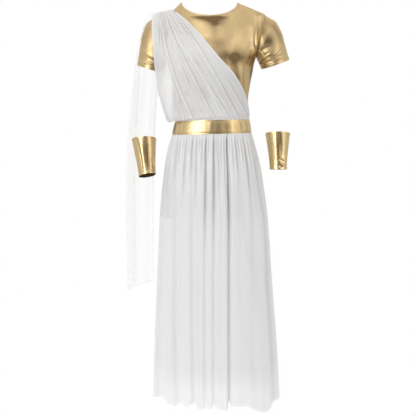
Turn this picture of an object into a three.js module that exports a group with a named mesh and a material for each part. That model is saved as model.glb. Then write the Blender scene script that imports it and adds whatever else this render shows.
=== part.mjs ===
// Roman toga costume, filled out as it is worn, with nobody in it.
// Millimetres, +Z up. The front faces -Y and +X is the wearer's left.
// The origin lies between the two shoulders at the height of the neck points.

import * as THREE from 'three';

// Cloth thicknesses and the gap that every seam keeps
const JERSEY = 1.5;
const CHIFFON = 1.2;
const SHEER = 1.0;
const BAND = 2.0;
const CUFF_CLOTH = 1.6;
const SEAM_GAP = 0.3;

// Levels of the seams
const SHOULDER_POINT = -42;
const ARMPIT = -194;
const WAIST_SEAM = -422;
const BAND_HEIGHT = 48;
const WAIST_TILT = 0.026;

// Neck opening, shoulders and armholes
const NECK = { centre: -5, half: 99, frontDrop: 51, backDrop: 41 };
const SHOULDER_HALF = 192;
const SHOULDER_ROUND = 120;
const ARMHOLE_DEPTH = 57;
const ARMHOLE_REACH = 7;

// The filled-out form that the cloth hangs on, from the neck down to the hem
const FORM = [
  { z: 0, centre: 0, half: 192, front: 62, back: 60 },
  { z: -42, centre: 0, half: 192, front: 72, back: 76 },
  { z: -72, centre: 0, half: 188, front: 84, back: 88 },
  { z: -109, centre: 0, half: 177, front: 98, back: 99 },
  { z: -137, centre: 0, half: 170, front: 107, back: 104 },
  { z: -170, centre: 0, half: 164, front: 113, back: 106 },
  { z: -194, centre: 0, half: 161, front: 117, back: 106 },
  { z: -220, centre: 0, half: 154, front: 118, back: 104 },
  { z: -250, centre: 0, half: 149, front: 117, back: 101 },
  { z: -290, centre: 1, half: 140, front: 112, back: 97 },
  { z: -350, centre: 3, half: 130, front: 103, back: 92 },
  { z: -400, centre: 4, half: 130.5, front: 99, back: 89 },
  { z: -422, centre: 5, half: 133, front: 100, back: 91 },
  { z: -470, centre: 3.5, half: 142, front: 104, back: 95 },
  { z: -520, centre: 3.5, half: 154.5, front: 116, back: 108 },
  { z: -590, centre: 6, half: 169, front: 132, back: 128 },
  { z: -675, centre: 8, half: 181, front: 145, back: 140 },
  { z: -772, centre: 10, half: 192, front: 152, back: 148 },
  { z: -1006, centre: 13, half: 205, front: 163, back: 156 },
  { z: -1264, centre: 17.5, half: 218.5, front: 174, back: 166 },
  { z: -1470, centre: 21, half: 226, front: 181, back: 173 },
];

// Height of the shoulder line across the garment, wearer's right to left
const SHOULDER_LINE = [
  { x: -260, z: -122 },
  { x: -239, z: -86 },
  { x: -209, z: -56 },
  { x: -192, z: -42 },
  { x: -139, z: -29 },
  { x: -104, z: 0 },
  { x: -5, z: 42 },
  { x: 94, z: 0 },
  { x: 192, z: -42 },
];

// Material colours and gloss
const GOLD = { color: 0xd8b878, roughness: 0.28, metalness: 0.9 };
const WHITE_CHIFFON = { color: 0xf1f1f3, roughness: 0.85, metalness: 0 };
const SHEER_CHIFFON = { color: 0xf8f8fa, roughness: 0.85, metalness: 0 };

const costume = new THREE.Group();

// Smooth value of one column of a table, with no overshoot between its rows
function smooth(table, key, column) {
  const rows = [...table].sort((a, b) => a[key] - b[key]);
  const slopes = rows.slice(1).map((row, i) => (row[column] - rows[i][column]) / (row[key] - rows[i][key]));
  const tangents = rows.map((row, i) => {
    const before = slopes[i - 1] ?? slopes[i];
    const after = slopes[i] ?? slopes[i - 1];
    return before * after <= 0 ? 0 : (2 * before * after) / (before + after);
  });
  return (place) => {
    const at = THREE.MathUtils.clamp(place, rows[0][key], rows.at(-1)[key]);
    const i = Math.min(rows.findLastIndex((row) => row[key] <= at), rows.length - 2);
    const span = rows[i + 1][key] - rows[i][key];
    const t = (at - rows[i][key]) / span;
    const rise = rows[i + 1][column] - rows[i][column];
    const bend = (1 - t) * (tangents[i] * span - rise) - t * (tangents[i + 1] * span - rise);
    return rows[i][column] + rise * t + t * (1 - t) * bend;
  };
}

const lerp = THREE.MathUtils.lerp;
const radians = THREE.MathUtils.degToRad;
const formCentre = smooth(FORM, 'z', 'centre');
const formHalf = smooth(FORM, 'z', 'half');
const formFront = smooth(FORM, 'z', 'front');
const formBack = smooth(FORM, 'z', 'back');
const shoulderLine = smooth(SHOULDER_LINE, 'x', 'z');

// The waist seam is a little higher on the wearer's left
const waistSeam = (x) => WAIST_SEAM + WAIST_TILT * x;
const hipSeam = (x) => waistSeam(x) - BAND_HEIGHT;

// Quarter-round rise from the shoulder line down to the full depth of the chest
function shoulderRound(drop) {
  const left = 1 - THREE.MathUtils.clamp(drop / SHOULDER_ROUND, 0, 1);
  return Math.sqrt(1 - left * left);
}

// Depth of the armhole seam at a level, an ellipse from shoulder point to armpit
function armholeDepth(z) {
  const middle = (SHOULDER_POINT + ARMPIT) / 2;
  const reach = (SHOULDER_POINT - ARMPIT) / 2;
  const along = (z - middle) / reach;
  return Math.abs(along) >= 1 ? 0 : ARMHOLE_DEPTH * Math.sqrt(1 - along * along);
}

// Point of the top at a share of its half width, side -1 in front and 1 at the back
function topPoint(share, z, side) {
  const x = formCentre(z) + share * formHalf(z);
  const depth = side < 0 ? formFront(z) : formBack(z);
  const edge = armholeDepth(z) * Math.abs(share) ** ARMHOLE_REACH;
  const above = THREE.MathUtils.smoothstep(z, ARMPIT - 60, ARMPIT + 90);
  const bow = (1 - Math.abs(share) ** lerp(2, 2.4, above)) ** lerp(0.5, 1, above);
  const y = edge + (depth - edge) * bow * shoulderRound(shoulderLine(x) - z);
  return new THREE.Vector3(x, side * y, z);
}

// Point of the round form at a bearing from the front, moved out by an offset
function formPoint(bearing, z, offset) {
  const depth = Math.abs(bearing) <= Math.PI / 2 ? formFront(z) : formBack(z);
  const half = formHalf(z);
  const out = new THREE.Vector3(Math.sin(bearing) / half, -Math.cos(bearing) / depth, 0).normalize();
  const x = formCentre(z) + half * Math.sin(bearing) + offset * out.x;
  return new THREE.Vector3(x, -depth * Math.cos(bearing) + offset * out.y, z);
}

// Outward direction of a grid of points at one of its points, square to a seam on y = 0
function gridNormal(grid, row, column, closed) {
  const wide = grid[row].length;
  const wrap = (c) => (closed ? (c + wide) % wide : THREE.MathUtils.clamp(c, 0, wide - 1));
  const up = grid[Math.max(row - 1, 0)][column];
  const down = grid[Math.min(row + 1, grid.length - 1)][column];
  const across = new THREE.Vector3().subVectors(grid[row][wrap(column + 1)], grid[row][wrap(column - 1)]);
  const normal = new THREE.Vector3().subVectors(down, up).cross(across).normalize();
  const onSeam = Math.abs(grid[row][column].y) < SEAM_GAP;
  return onSeam ? normal.setY(0).normalize() : normal;
}

// Closed wall of even thickness on a grid whose rows run down and whose columns run round
function clothWall(name, grid, thickness, look, closed = false) {
  const rows = grid.length;
  const wide = grid[0].length;
  const points = [];
  for (const outward of [0.5, -0.5]) {
    for (let r = 0; r < rows; r += 1) {
      for (let c = 0; c < wide; c += 1) {
        const shift = gridNormal(grid, r, c, closed).multiplyScalar(outward * thickness);
        points.push(...grid[r][c].clone().add(shift).toArray());
      }
    }
  }
  const at = (layer, r, c) => layer * rows * wide + r * wide + (c % wide);
  const faces = [];
  const quad = (a, b, c, d) => faces.push(a, b, c, a, c, d);
  const spans = closed ? wide : wide - 1;
  for (let c = 0; c < spans; c += 1) {
    for (let r = 0; r < rows - 1; r += 1) {
      quad(at(0, r, c), at(0, r + 1, c), at(0, r + 1, c + 1), at(0, r, c + 1));
      quad(at(1, r, c), at(1, r, c + 1), at(1, r + 1, c + 1), at(1, r + 1, c));
    }
    quad(at(1, 0, c), at(0, 0, c), at(0, 0, c + 1), at(1, 0, c + 1));
    quad(at(0, rows - 1, c), at(1, rows - 1, c), at(1, rows - 1, c + 1), at(0, rows - 1, c + 1));
  }
  for (let r = 0; !closed && r < rows - 1; r += 1) {
    quad(at(1, r, 0), at(1, r + 1, 0), at(0, r + 1, 0), at(0, r, 0));
    quad(at(0, r, wide - 1), at(0, r + 1, wide - 1), at(1, r + 1, wide - 1), at(1, r, wide - 1));
  }
  const geometry = new THREE.BufferGeometry();
  geometry.setAttribute('position', new THREE.Float32BufferAttribute(points, 3));
  geometry.setIndex(faces);
  const mesh = new THREE.Mesh(geometry, new THREE.MeshStandardMaterial(look));
  mesh.name = name;
  costume.add(mesh);
}

// Gold top: a front and a back, cut with a round neck, and sewn at shoulders and sides
const ARMHOLE_STEPS = 10;
const SIDE_STEPS = 4;
const SHOULDER_STEPS = 4;
const NECK_STEPS = 8;

// Places across the top where its columns run, closest together at the neck points
function topColumns() {
  const columns = [];
  for (let i = 0; i < SHOULDER_STEPS; i += 1) {
    columns.push(lerp(-SHOULDER_HALF, NECK.centre - NECK.half, i / SHOULDER_STEPS));
  }
  for (let i = 0; i <= NECK_STEPS; i += 1) {
    columns.push(NECK.centre - NECK.half * Math.cos((Math.PI * i) / NECK_STEPS));
  }
  for (let i = 1; i <= SHOULDER_STEPS; i += 1) {
    columns.push(lerp(NECK.centre + NECK.half, SHOULDER_HALF, i / SHOULDER_STEPS));
  }
  return columns;
}

function topPanel(side) {
  const drop = side < 0 ? NECK.frontDrop : NECK.backDrop;
  const columns = topColumns().map((x) => {
    const fromNeck = (x - NECK.centre) / NECK.half;
    const neckline = -drop * Math.sqrt(Math.max(1 - fromNeck * fromNeck, 0));
    const upper = Math.abs(fromNeck) < 1 ? neckline : shoulderLine(x);
    return { share: x / SHOULDER_HALF, upper };
  });
  const grid = [];
  for (let r = 0; r <= ARMHOLE_STEPS + SIDE_STEPS; r += 1) {
    const row = columns.map(({ share, upper }) => {
      const seam = waistSeam(share * formHalf(WAIST_SEAM)) + SEAM_GAP;
      const turn = (1 - Math.cos((Math.PI * r) / ARMHOLE_STEPS)) / 2;
      const below = (r - ARMHOLE_STEPS) / SIDE_STEPS;
      const z = r <= ARMHOLE_STEPS ? lerp(upper, ARMPIT, turn) : lerp(ARMPIT, seam, below);
      const point = topPoint(share, z, side);
      point.y += (side * SEAM_GAP) / 2;
      return point;
    });
    grid.push(side < 0 ? row : row.reverse());
  }
  clothWall(side < 0 ? 'top_front' : 'top_back', grid, JERSEY, GOLD);
}

topPanel(-1);
topPanel(1);

// Sleeves: tubes from the armhole seam to a hem that hangs out from the body
const SLEEVE_SIDES = 2 * ARMHOLE_STEPS;
const SLEEVE_STEPS = [0, 0.08, 0.2, 0.35, 0.5, 0.68, 0.85, 1];
const SLEEVE_SEAM = 1.5;
const SLEEVE_FULLNESS = 7;
const SLEEVE_CAP = [
  { along: 0, rise: 0 },
  { along: 0.1, rise: 10 },
  { along: 0.25, rise: 24 },
  { along: 0.45, rise: 23 },
  { along: 0.65, rise: 15 },
  { along: 0.84, rise: 7 },
  { along: 1, rise: 0 },
];
const SLEEVES = [
  { name: 'sleeve_left', side: 1, outerX: 281, outerZ: -203, innerX: 182, innerZ: -237, depth: 64, dip: 6 },
  { name: 'sleeve_right', side: -1, outerX: 265, outerZ: -223, innerX: 169, innerZ: -251, depth: 64, dip: 5 },
];

// Point of the sleeve's end, just inside the armhole seam
function armholePoint(angle) {
  const middle = (SHOULDER_POINT + ARMPIT) / 2;
  const reach = (SHOULDER_POINT - ARMPIT) / 2;
  const z = middle + reach * Math.cos(angle);
  const y = -ARMHOLE_DEPTH * Math.sin(angle);
  const inset = 1 - SLEEVE_SEAM / reach;
  return new THREE.Vector3(formHalf(z) + SLEEVE_SEAM, y * inset, middle + (z - middle) * inset);
}

function sleeve({ name, side, outerX, outerZ, innerX, innerZ, depth, dip }) {
  const capRise = smooth(SLEEVE_CAP, 'along', 'rise');
  const across = new THREE.Vector3((outerX - innerX) / 2, 0, (outerZ - innerZ) / 2);
  const fall = new THREE.Vector3(outerX - SHOULDER_HALF, 0, outerZ - SHOULDER_POINT).normalize();
  const grid = SLEEVE_STEPS.map((along) => {
    const row = [];
    for (let k = 0; k < SLEEVE_SIDES; k += 1) {
      const angle = (2 * Math.PI * k) / SLEEVE_SIDES;
      const hem = new THREE.Vector3((outerX + innerX) / 2, -depth * Math.sin(angle), (outerZ + innerZ) / 2);
      hem.addScaledVector(across, Math.cos(angle));
      hem.z -= dip * Math.max(Math.sin(angle), 0);
      const point = armholePoint(angle).lerp(hem, along);
      const crown = capRise(along) * Math.max(Math.cos(angle), 0);
      point.x -= crown * fall.z;
      point.z += crown * fall.x;
      point.y -= SLEEVE_FULLNESS * Math.sin(Math.PI * along) * Math.sin(angle);
      point.x *= side;
      row.push(point);
    }
    return side < 0 ? row : row.reverse();
  });
  clothWall(name, grid, JERSEY, GOLD, true);
}

SLEEVES.forEach(sleeve);

// Waistband: a front and a back strip between the waist seam and the skirt
const BAND_COLUMNS = 26;
const BAND_ROWS = 3;

function bearings(from, to, steps) {
  return Array.from({ length: steps + 1 }, (_, i) => radians(lerp(from, to, i / steps)));
}

function halfRound(side, steps) {
  const seamTurn = THREE.MathUtils.radToDeg(SEAM_GAP / 2 / formHalf(WAIST_SEAM));
  const start = side < 0 ? -90 : 90;
  return bearings(start + seamTurn, start + 180 - seamTurn, steps);
}

function wrapBearing(bearing) {
  return bearing > Math.PI ? bearing - 2 * Math.PI : bearing;
}

function waistband(side) {
  const grid = [];
  for (let r = 0; r <= BAND_ROWS; r += 1) {
    grid.push(halfRound(side, BAND_COLUMNS).map((turn) => {
      const bearing = wrapBearing(turn);
      const x = formHalf(WAIST_SEAM) * Math.sin(bearing);
      return formPoint(bearing, lerp(waistSeam(x), hipSeam(x), r / BAND_ROWS), BAND / 2);
    }));
  }
  clothWall(side < 0 ? 'waistband_front' : 'waistband_back', grid, BAND, GOLD);
}

waistband(-1);
waistband(1);

// Skirt: gathered into the band, its gathers opening into a few deep hanging folds
const GATHERS_PER_PANEL = 25;
const POINTS_PER_GATHER = 4;
const GATHER_WAVE = [1, 0.15, -1, 0.15];
const GATHER_EVENNESS = 0.78;
const GATHER_DRIFT = 2.4;
const FOLD_RIDGE = 4;
const SKIRT_OUT = 2;
const SKIRT_LEVELS = [0, 0.02, 0.06, 0.13, 0.24, 0.42, 0.68, 1];
const GATHER_DEPTH = [
  { share: 0, depth: 1.2 },
  { share: 0.02, depth: 2.8 },
  { share: 0.06, depth: 3.4 },
  { share: 0.13, depth: 3 },
  { share: 0.24, depth: 1.8 },
  { share: 0.42, depth: 0.9 },
  { share: 0.68, depth: 0.5 },
  { share: 1, depth: 0.4 },
];
const SKIRT_FOLDS = [
  { bearing: -76, width: 5, depth: 14 },
  { bearing: -46, width: 6, depth: 9 },
  { bearing: -27, width: 5, depth: 13 },
  { bearing: -8, width: 4, depth: 15 },
  { bearing: 1.5, width: 3.5, depth: 10 },
  { bearing: 14, width: 4, depth: 23 },
  { bearing: 43, width: 7, depth: 8 },
  { bearing: 67, width: 5, depth: 17 },
  { bearing: 104, width: 6, depth: 12 },
  { bearing: 124, width: 5, depth: 18 },
  { bearing: 143, width: 5, depth: 12 },
  { bearing: 160, width: 4.5, depth: 20 },
  { bearing: 177, width: 5, depth: 13 },
  { bearing: 195, width: 5, depth: 18 },
  { bearing: 214, width: 6, depth: 12 },
  { bearing: 232, width: 5, depth: 19 },
  { bearing: 253, width: 6, depth: 12 },
];
const HEM = [
  { bearing: -90, z: -1434 },
  { bearing: -64, z: -1445 },
  { bearing: -46, z: -1434 },
  { bearing: -20, z: -1437 },
  { bearing: 5, z: -1437 },
  { bearing: 14, z: -1428 },
  { bearing: 28, z: -1434 },
  { bearing: 44, z: -1452 },
  { bearing: 57, z: -1466 },
  { bearing: 70, z: -1456 },
  { bearing: 90, z: -1434 },
  { bearing: 135, z: -1440 },
  { bearing: 180, z: -1436 },
  { bearing: 225, z: -1440 },
  { bearing: 270, z: -1434 },
];

// Depth of the hanging folds at a bearing
function foldDepth(degrees) {
  return SKIRT_FOLDS.reduce((sum, { bearing, width, depth }) => {
    const away = ((degrees - bearing + 540) % 360) - 180;
    return sum + depth * Math.exp(-((away / width) ** 2));
  }, 0);
}

function skirtPanel(side) {
  const gatherDepth = smooth(GATHER_DEPTH, 'share', 'depth');
  const hemLevel = smooth(HEM, 'bearing', 'z');
  const turns = halfRound(side, GATHERS_PER_PANEL * POINTS_PER_GATHER);
  const grid = SKIRT_LEVELS.map((share) => turns.map((turn, i) => {
    const bearing = wrapBearing(turn);
    const degrees = THREE.MathUtils.radToDeg(turn);
    const seam = hipSeam(formHalf(WAIST_SEAM) * Math.sin(bearing)) - SEAM_GAP;
    const gather = Math.floor(i / POINTS_PER_GATHER);
    const size = lerp(Math.sin(GATHER_DRIFT * gather), 1, GATHER_EVENNESS);
    const wave = gatherDepth(share) * size * GATHER_WAVE[i % POINTS_PER_GATHER];
    const fold = (foldDepth(degrees) - FOLD_RIDGE) * THREE.MathUtils.smoothstep(share, 0.02, 0.9);
    return formPoint(bearing, lerp(seam, hemLevel(degrees), share), SKIRT_OUT + wave - fold);
  }));
  clothWall(side < 0 ? 'skirt_front' : 'skirt_back', grid, CHIFFON, WHITE_CHIFFON);
}

skirtPanel(-1);
skirtPanel(1);

// Slip: a short plain lining sewn inside the band, its edge seen through the skirt
const SLIP_COLUMNS = 40;
const SLIP_INSET = [
  { z: -448, inset: 1.5 },
  { z: -471, inset: 1.5 },
  { z: -500, inset: 7 },
  { z: -560, inset: 12 },
  { z: -660, inset: 18 },
  { z: -770, inset: 22 },
];

function slip() {
  const inset = smooth(SLIP_INSET, 'z', 'inset');
  const grid = SLIP_INSET.map(({ z }) => Array.from({ length: SLIP_COLUMNS }, (_, i) => {
    const bearing = wrapBearing((2 * Math.PI * i) / SLIP_COLUMNS);
    return formPoint(bearing, z, -inset(z));
  }));
  clothWall('slip', grid, SHEER, SHEER_CHIFFON, true);
}

slip();

// Drape: gathered on the wearer's right shoulder and pleated across to the waist
const DRAPE_ROWS = [0, 0.012, 0.04, 0.09, 0.16, 0.25, 0.35, 0.45, 0.55, 0.65, 0.75, 0.85, 0.95, 1];
const DRAPE_OUT = 4.6;
const DRAPE_OUTER_EDGE = [
  { v: 0, x: -209, z: -55 },
  { v: 0.04, x: -209.5, z: -67 },
  { v: 0.25, x: -203, z: -155 },
  { v: 0.44, x: -198, z: -224 },
  { v: 0.58, x: -191, z: -279 },
  { v: 0.78, x: -180, z: -350 },
  { v: 0.9, x: -166, z: -399 },
  { v: 0.96, x: -152, z: -424 },
  { v: 1, x: -128, z: -423 },
];
const DRAPE_UPPER_EDGE = [
  { v: 0, x: -137, z: -28 },
  { v: 0.197, x: -65, z: -92 },
  { v: 0.49, x: 28, z: -201 },
  { v: 0.684, x: 89, z: -272 },
  { v: 0.88, x: 127, z: -360 },
  { v: 1, x: 136.5, z: -419 },
];
const DRAPE_FALL = [
  { z: -42, depth: 0 },
  { z: -46, depth: 19 },
  { z: -56, depth: 34 },
  { z: -73, depth: 49 },
  { z: -100, depth: 63 },
  { z: -155, depth: 79 },
  { z: -224, depth: 85 },
  { z: -279, depth: 80 },
  { z: -350, depth: 62 },
  { z: -400, depth: 42 },
  { z: -424, depth: 20 },
];
const DRAPE_PLEATS = [
  { waist: 0, depth: 4 },
  { waist: 0.1, depth: 3 },
  { waist: 0.2, depth: 3.5 },
  { waist: 0.3, depth: 6 },
  { waist: 0.42, depth: 7 },
  { waist: 0.53, depth: 5 },
  { waist: 0.62, depth: 7 },
  { waist: 0.71, depth: 5 },
  { waist: 0.78, depth: 6 },
  { waist: 0.85, depth: 5 },
  { waist: 0.92, depth: 4.5 },
  { waist: 1, depth: 0 },
];
const POINTS_PER_PLEAT = 4;
const DRAPE_REACH = { chest: 215, waist: 150, from: 250, to: 424 };

// The drape lies on the chest and hangs free in front of the arm
function drapePoint(x, z) {
  const centre = formCentre(z);
  const inner = topPoint(THREE.MathUtils.clamp((x - centre) / formHalf(z), -1, 1), z, -1);
  const fall = smooth(DRAPE_FALL, 'z', 'depth')(z);
  const lower = THREE.MathUtils.smoothstep(-z, DRAPE_REACH.from, DRAPE_REACH.to);
  const reach = lerp(DRAPE_REACH.chest, DRAPE_REACH.waist, lower);
  const out = Math.min(Math.max(centre - x, 0) / reach, 1);
  const round = shoulderRound(shoulderLine(x) - z);
  const free = fall + Math.max(formFront(z) - fall, 0) * (1 - out ** 2.4) ** 0.8 * round;
  const y = x < centre ? Math.min(-free, inner.y) : inner.y;
  return new THREE.Vector3(x, y, z);
}

function drape() {
  const edge = (table, column) => smooth(table, 'v', column);
  const outerX = edge(DRAPE_OUTER_EDGE, 'x');
  const outerZ = edge(DRAPE_OUTER_EDGE, 'z');
  const upperX = edge(DRAPE_UPPER_EDGE, 'x');
  const upperZ = edge(DRAPE_UPPER_EDGE, 'z');
  const pleats = DRAPE_PLEATS.length - 1;
  const columns = Array.from({ length: pleats * POINTS_PER_PLEAT + 1 }, (_, j) => {
    const k = Math.min(Math.floor(j / POINTS_PER_PLEAT), pleats - 1);
    const part = j / POINTS_PER_PLEAT - k;
    return {
      shoulder: j / POINTS_PER_PLEAT / pleats,
      waist: lerp(DRAPE_PLEATS[k].waist, DRAPE_PLEATS[k + 1].waist, part),
      lift: DRAPE_PLEATS[k].depth * Math.sin(Math.PI * part) ** 2,
    };
  });
  const base = DRAPE_ROWS.map((v) => columns.map(({ shoulder, waist }) => {
    const u = lerp(shoulder, waist, v ** 0.8);
    const x = lerp(outerX(v), upperX(v), u);
    const straight = lerp(outerZ(v), upperZ(v), u);
    const startX = lerp(outerX(0), upperX(0), shoulder);
    const startZ = lerp(outerZ(0), upperZ(0), shoulder);
    const settle = 1 - THREE.MathUtils.smoothstep(v, 0, 0.2);
    const z = straight + (shoulderLine(startX) - startZ) * settle;
    return drapePoint(x, v === 1 ? waistSeam(x) + SEAM_GAP : z);
  }));
  const grid = base.map((row, r) => row.map((point, c) => {
    const v = DRAPE_ROWS[r];
    const gather = lerp(0.4, 1, THREE.MathUtils.smoothstep(v, 0, 0.35));
    const seam = THREE.MathUtils.smoothstep(v, 0.95, 1);
    const lift = columns[c].lift * gather * (1 - seam);
    const out = lerp(DRAPE_OUT, (JERSEY + CHIFFON) / 2 + SEAM_GAP, seam);
    return point.clone().addScaledVector(gridNormal(base, r, c, false), out + lift);
  }));
  clothWall('drape_front', grid, CHIFFON, WHITE_CHIFFON);
}

drape();

// Cape: a sheer panel that falls from the same shoulder behind the arm, its outer edge turned over
const CAPE_COLUMNS = 14;
const CAPE_TURN_COLUMNS = 5;
const CAPE_FALLS = [
  { outerX: -211, outerZ: -52, innerX: -150, innerZ: -27, y: 0.28, turned: 6, wave: 0, hug: 1 },
  { outerX: -221, outerZ: -56, innerX: -153, innerZ: -30, y: 28, turned: 8, wave: 1, hug: 0.8 },
  { outerX: -239, outerZ: -74, innerX: -158, innerZ: -42, y: 58, turned: 11, wave: 1.5, hug: 0.3 },
  { outerX: -259, outerZ: -120, innerX: -168, innerZ: -85, y: 82, turned: 16, wave: 2.5 },
  { outerX: -277, outerZ: -190, innerX: -182, innerZ: -160, y: 91, turned: 22, wave: 4 },
  { outerX: -290, outerZ: -310, innerX: -196, innerZ: -300, y: 93, turned: 28, wave: 5 },
  { outerX: -303, outerZ: -430, innerX: -204, innerZ: -425, y: 93, turned: 33, wave: 5 },
  { outerX: -313, outerZ: -590, innerX: -210, innerZ: -585, y: 93, turned: 35, wave: 5 },
  { outerX: -314, outerZ: -760, innerX: -212, innerZ: -755, y: 93, turned: 35, wave: 5 },
  { outerX: -313, outerZ: -950, innerX: -212, innerZ: -925, y: 93, turned: 34, wave: 4.5 },
  { outerX: -311, outerZ: -1054, innerX: -212, innerZ: -1019, y: 93, turned: 32, wave: 4 },
];
const CAPE_WAVES = 2.5;
const CAPE_TURN_GAP = 14;
const CAPE_LIFT = 5;

function cape() {
  const grid = CAPE_FALLS.map((level) => {
    const { outerX, outerZ, innerX, innerZ, y, turned, wave, hug = 0 } = level;
    const row = [];
    const turnGap = Math.min(CAPE_TURN_GAP, turned / 2);
    for (let i = 0; i <= CAPE_COLUMNS; i += 1) {
      const q = i / CAPE_COLUMNS;
      const ripple = wave * Math.sin(2 * Math.PI * CAPE_WAVES * q) * (1 - q * q);
      const x = lerp(innerX, outerX, q);
      const free = lerp(innerZ, outerZ, lerp(q, q ** 3, 0.5));
      row.push(new THREE.Vector3(x, y + ripple, lerp(free, shoulderLine(x) + CAPE_LIFT, hug)));
    }
    for (let i = 1; i <= CAPE_TURN_COLUMNS; i += 1) {
      const q = i / CAPE_TURN_COLUMNS;
      const x = outerX + turned * (1 - Math.cos((Math.PI * q) / 2));
      const front = y - turnGap * Math.sin((Math.PI * q) / 2);
      row.push(new THREE.Vector3(x, front, outerZ + (innerZ - outerZ) * q * 0.9));
    }
    return row.reverse();
  });
  clothWall('cape', grid, SHEER, SHEER_CHIFFON);
}

cape();

// Cuffs: tapered tubes worn on the forearms, their ends tipped forward and rolled sideways
const CUFF_SIDES = 20;
const CUFF_LENGTH_STEPS = [
  { along: 0, half: 1 },
  { along: 0.1, half: 0.965 },
  { along: 0.35, half: 0.87 },
  { along: 0.6, half: 0.78 },
  { along: 0.86, half: 0.71 },
  { along: 1, half: 0.69 },
];
const CUFF_TOP_HALF = 43.5;
const CUFFS = [
  { name: 'cuff_right', top: [-243.5, -490], wrist: [-230, -620], tips: [15.5, 15.5], rolls: [2, 9] },
  { name: 'cuff_left', top: [241.5, -470], wrist: [243.5, -599], tips: [11.5, 3.5], rolls: [0, 0] },
];

function cuff({ name, top, wrist, tips, rolls }) {
  const lean = Math.tan(radians((tips[0] + tips[1]) / 2));
  const grid = CUFF_LENGTH_STEPS.map(({ along, half }) => {
    const radius = CUFF_TOP_HALF * half;
    const tip = radians(lerp(...tips, along));
    const roll = radians(lerp(...rolls, along));
    const forward = new THREE.Vector3(0, -Math.cos(tip), Math.sin(tip));
    const sideways = new THREE.Vector3(Math.cos(roll), 0, Math.sin(roll));
    const swing = (top[1] - wrist[1]) * lean * (0.5 - along);
    const centre = new THREE.Vector3(lerp(top[0], wrist[0], along), swing, lerp(top[1], wrist[1], along));
    return Array.from({ length: CUFF_SIDES }, (_, k) => {
      const angle = (2 * Math.PI * k) / CUFF_SIDES;
      const point = centre.clone().addScaledVector(forward, radius * Math.cos(angle));
      return point.addScaledVector(sideways, radius * Math.sin(angle));
    });
  });
  clothWall(name, grid, CUFF_CLOTH, GOLD, true);
}

CUFFS.forEach(cuff);

export default costume;
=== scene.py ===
# %% [markdown]
# # A roman toga costume
# The costume is a gold foil top with short sleeves, a white chiffon drape over one shoulder, a sheer cape,
# a gold waistband, a long gathered skirt over a short lining, and two gold cuffs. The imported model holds
# every cloth wall at its true place. This lesson sews a finer cloth on the form of each wall: it adds the
# gathers, pleats, creases and hems, and then the foil, the weave and the stitches.

import math

import bpy
import numpy as np
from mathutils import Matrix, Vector


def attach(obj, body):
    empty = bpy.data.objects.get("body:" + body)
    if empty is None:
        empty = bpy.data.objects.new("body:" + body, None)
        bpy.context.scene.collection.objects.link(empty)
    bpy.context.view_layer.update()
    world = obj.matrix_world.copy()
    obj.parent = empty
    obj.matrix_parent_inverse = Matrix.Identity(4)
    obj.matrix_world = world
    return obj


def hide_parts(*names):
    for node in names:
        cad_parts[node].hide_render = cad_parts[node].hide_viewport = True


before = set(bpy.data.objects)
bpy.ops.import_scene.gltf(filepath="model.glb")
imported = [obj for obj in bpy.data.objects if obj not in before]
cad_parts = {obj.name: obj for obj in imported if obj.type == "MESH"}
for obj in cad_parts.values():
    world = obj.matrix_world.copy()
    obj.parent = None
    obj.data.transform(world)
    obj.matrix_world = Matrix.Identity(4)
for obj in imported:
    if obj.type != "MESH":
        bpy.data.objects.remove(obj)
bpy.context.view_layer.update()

# %% [markdown]
# The picture was taken from straight in front, a little above the middle, from far enough away that the
# costume hardly tapers. A long lens 4.4 m away and 4 degrees up does the same.

# %% Camera
TARGET = Vector((-0.0109, 0.0, -0.7394))
DISTANCE = 4.4
ELEVATION = math.radians(4)
SEEN_WIDTH = 1.511
SENSOR = 36

bpy.ops.object.select_all(action="DESELECT")
stand = TARGET + DISTANCE * Vector((0, -math.cos(ELEVATION), math.sin(ELEVATION)))
bpy.ops.object.camera_add(location=stand, rotation=(math.radians(90) - ELEVATION, 0, 0))
camera = bpy.context.object
camera.name = "photo_camera"
camera.data.sensor_width = SENSOR
camera.data.lens = SENSOR * DISTANCE / SEEN_WIDTH
bpy.context.scene.camera = camera
bpy.context.scene.view_settings.view_transform = "Standard"
print("camera lens", round(camera.data.lens, 1), "mm")

# %% [markdown]
# The studio is a paper floor and soft boxes. Foil shows what stands around it, so the world is bright at
# the sides and above, and darker in front, which gives the gold its brown places. Only the camera sees
# the floor and the world as plain white.

# %% Floor, lamps and world
FLOOR_LEVEL = -1.486
PAPER = (0.75, 0.75, 0.75, 1)


def link(tree, source, output, target, socket):
    tree.links.new(source.outputs[output], target.inputs[socket])


def set_inputs(node, values):
    """Plain values on a node's sockets, found by name."""
    for name, value in values.items():
        node.inputs[name.replace("_", " ")].default_value = value


def add_node(tree, kind, **values):
    node = tree.nodes.new(kind)
    set_inputs(node, values)
    return node


def principled(name, **values):
    """A material, its nodes and its main shader."""
    material = bpy.data.materials.new(name)
    material.use_nodes = True
    shader = material.node_tree.nodes["Principled BSDF"]
    set_inputs(shader, values)
    return material, material.node_tree, shader


def math_node(tree, operation, *values):
    """A math node whose inputs are numbers or (node, output) pairs."""
    node = tree.nodes.new("ShaderNodeMath")
    node.operation = operation
    for index, value in enumerate(values):
        if isinstance(value, tuple):
            link(tree, *value, node, index)
        else:
            node.inputs[index].default_value = value
    return node


def seen_white(tree, shader, white, output):
    """The camera sees the white shader, and light and reflections see the other one."""
    ray = tree.nodes.new("ShaderNodeLightPath")
    choice = tree.nodes.new("ShaderNodeMixShader")
    link(tree, ray, "Is Camera Ray", choice, "Fac")
    link(tree, shader, 0, choice, 1)
    link(tree, white, 0, choice, 2)
    link(tree, choice, "Shader", output, "Surface")


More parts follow.
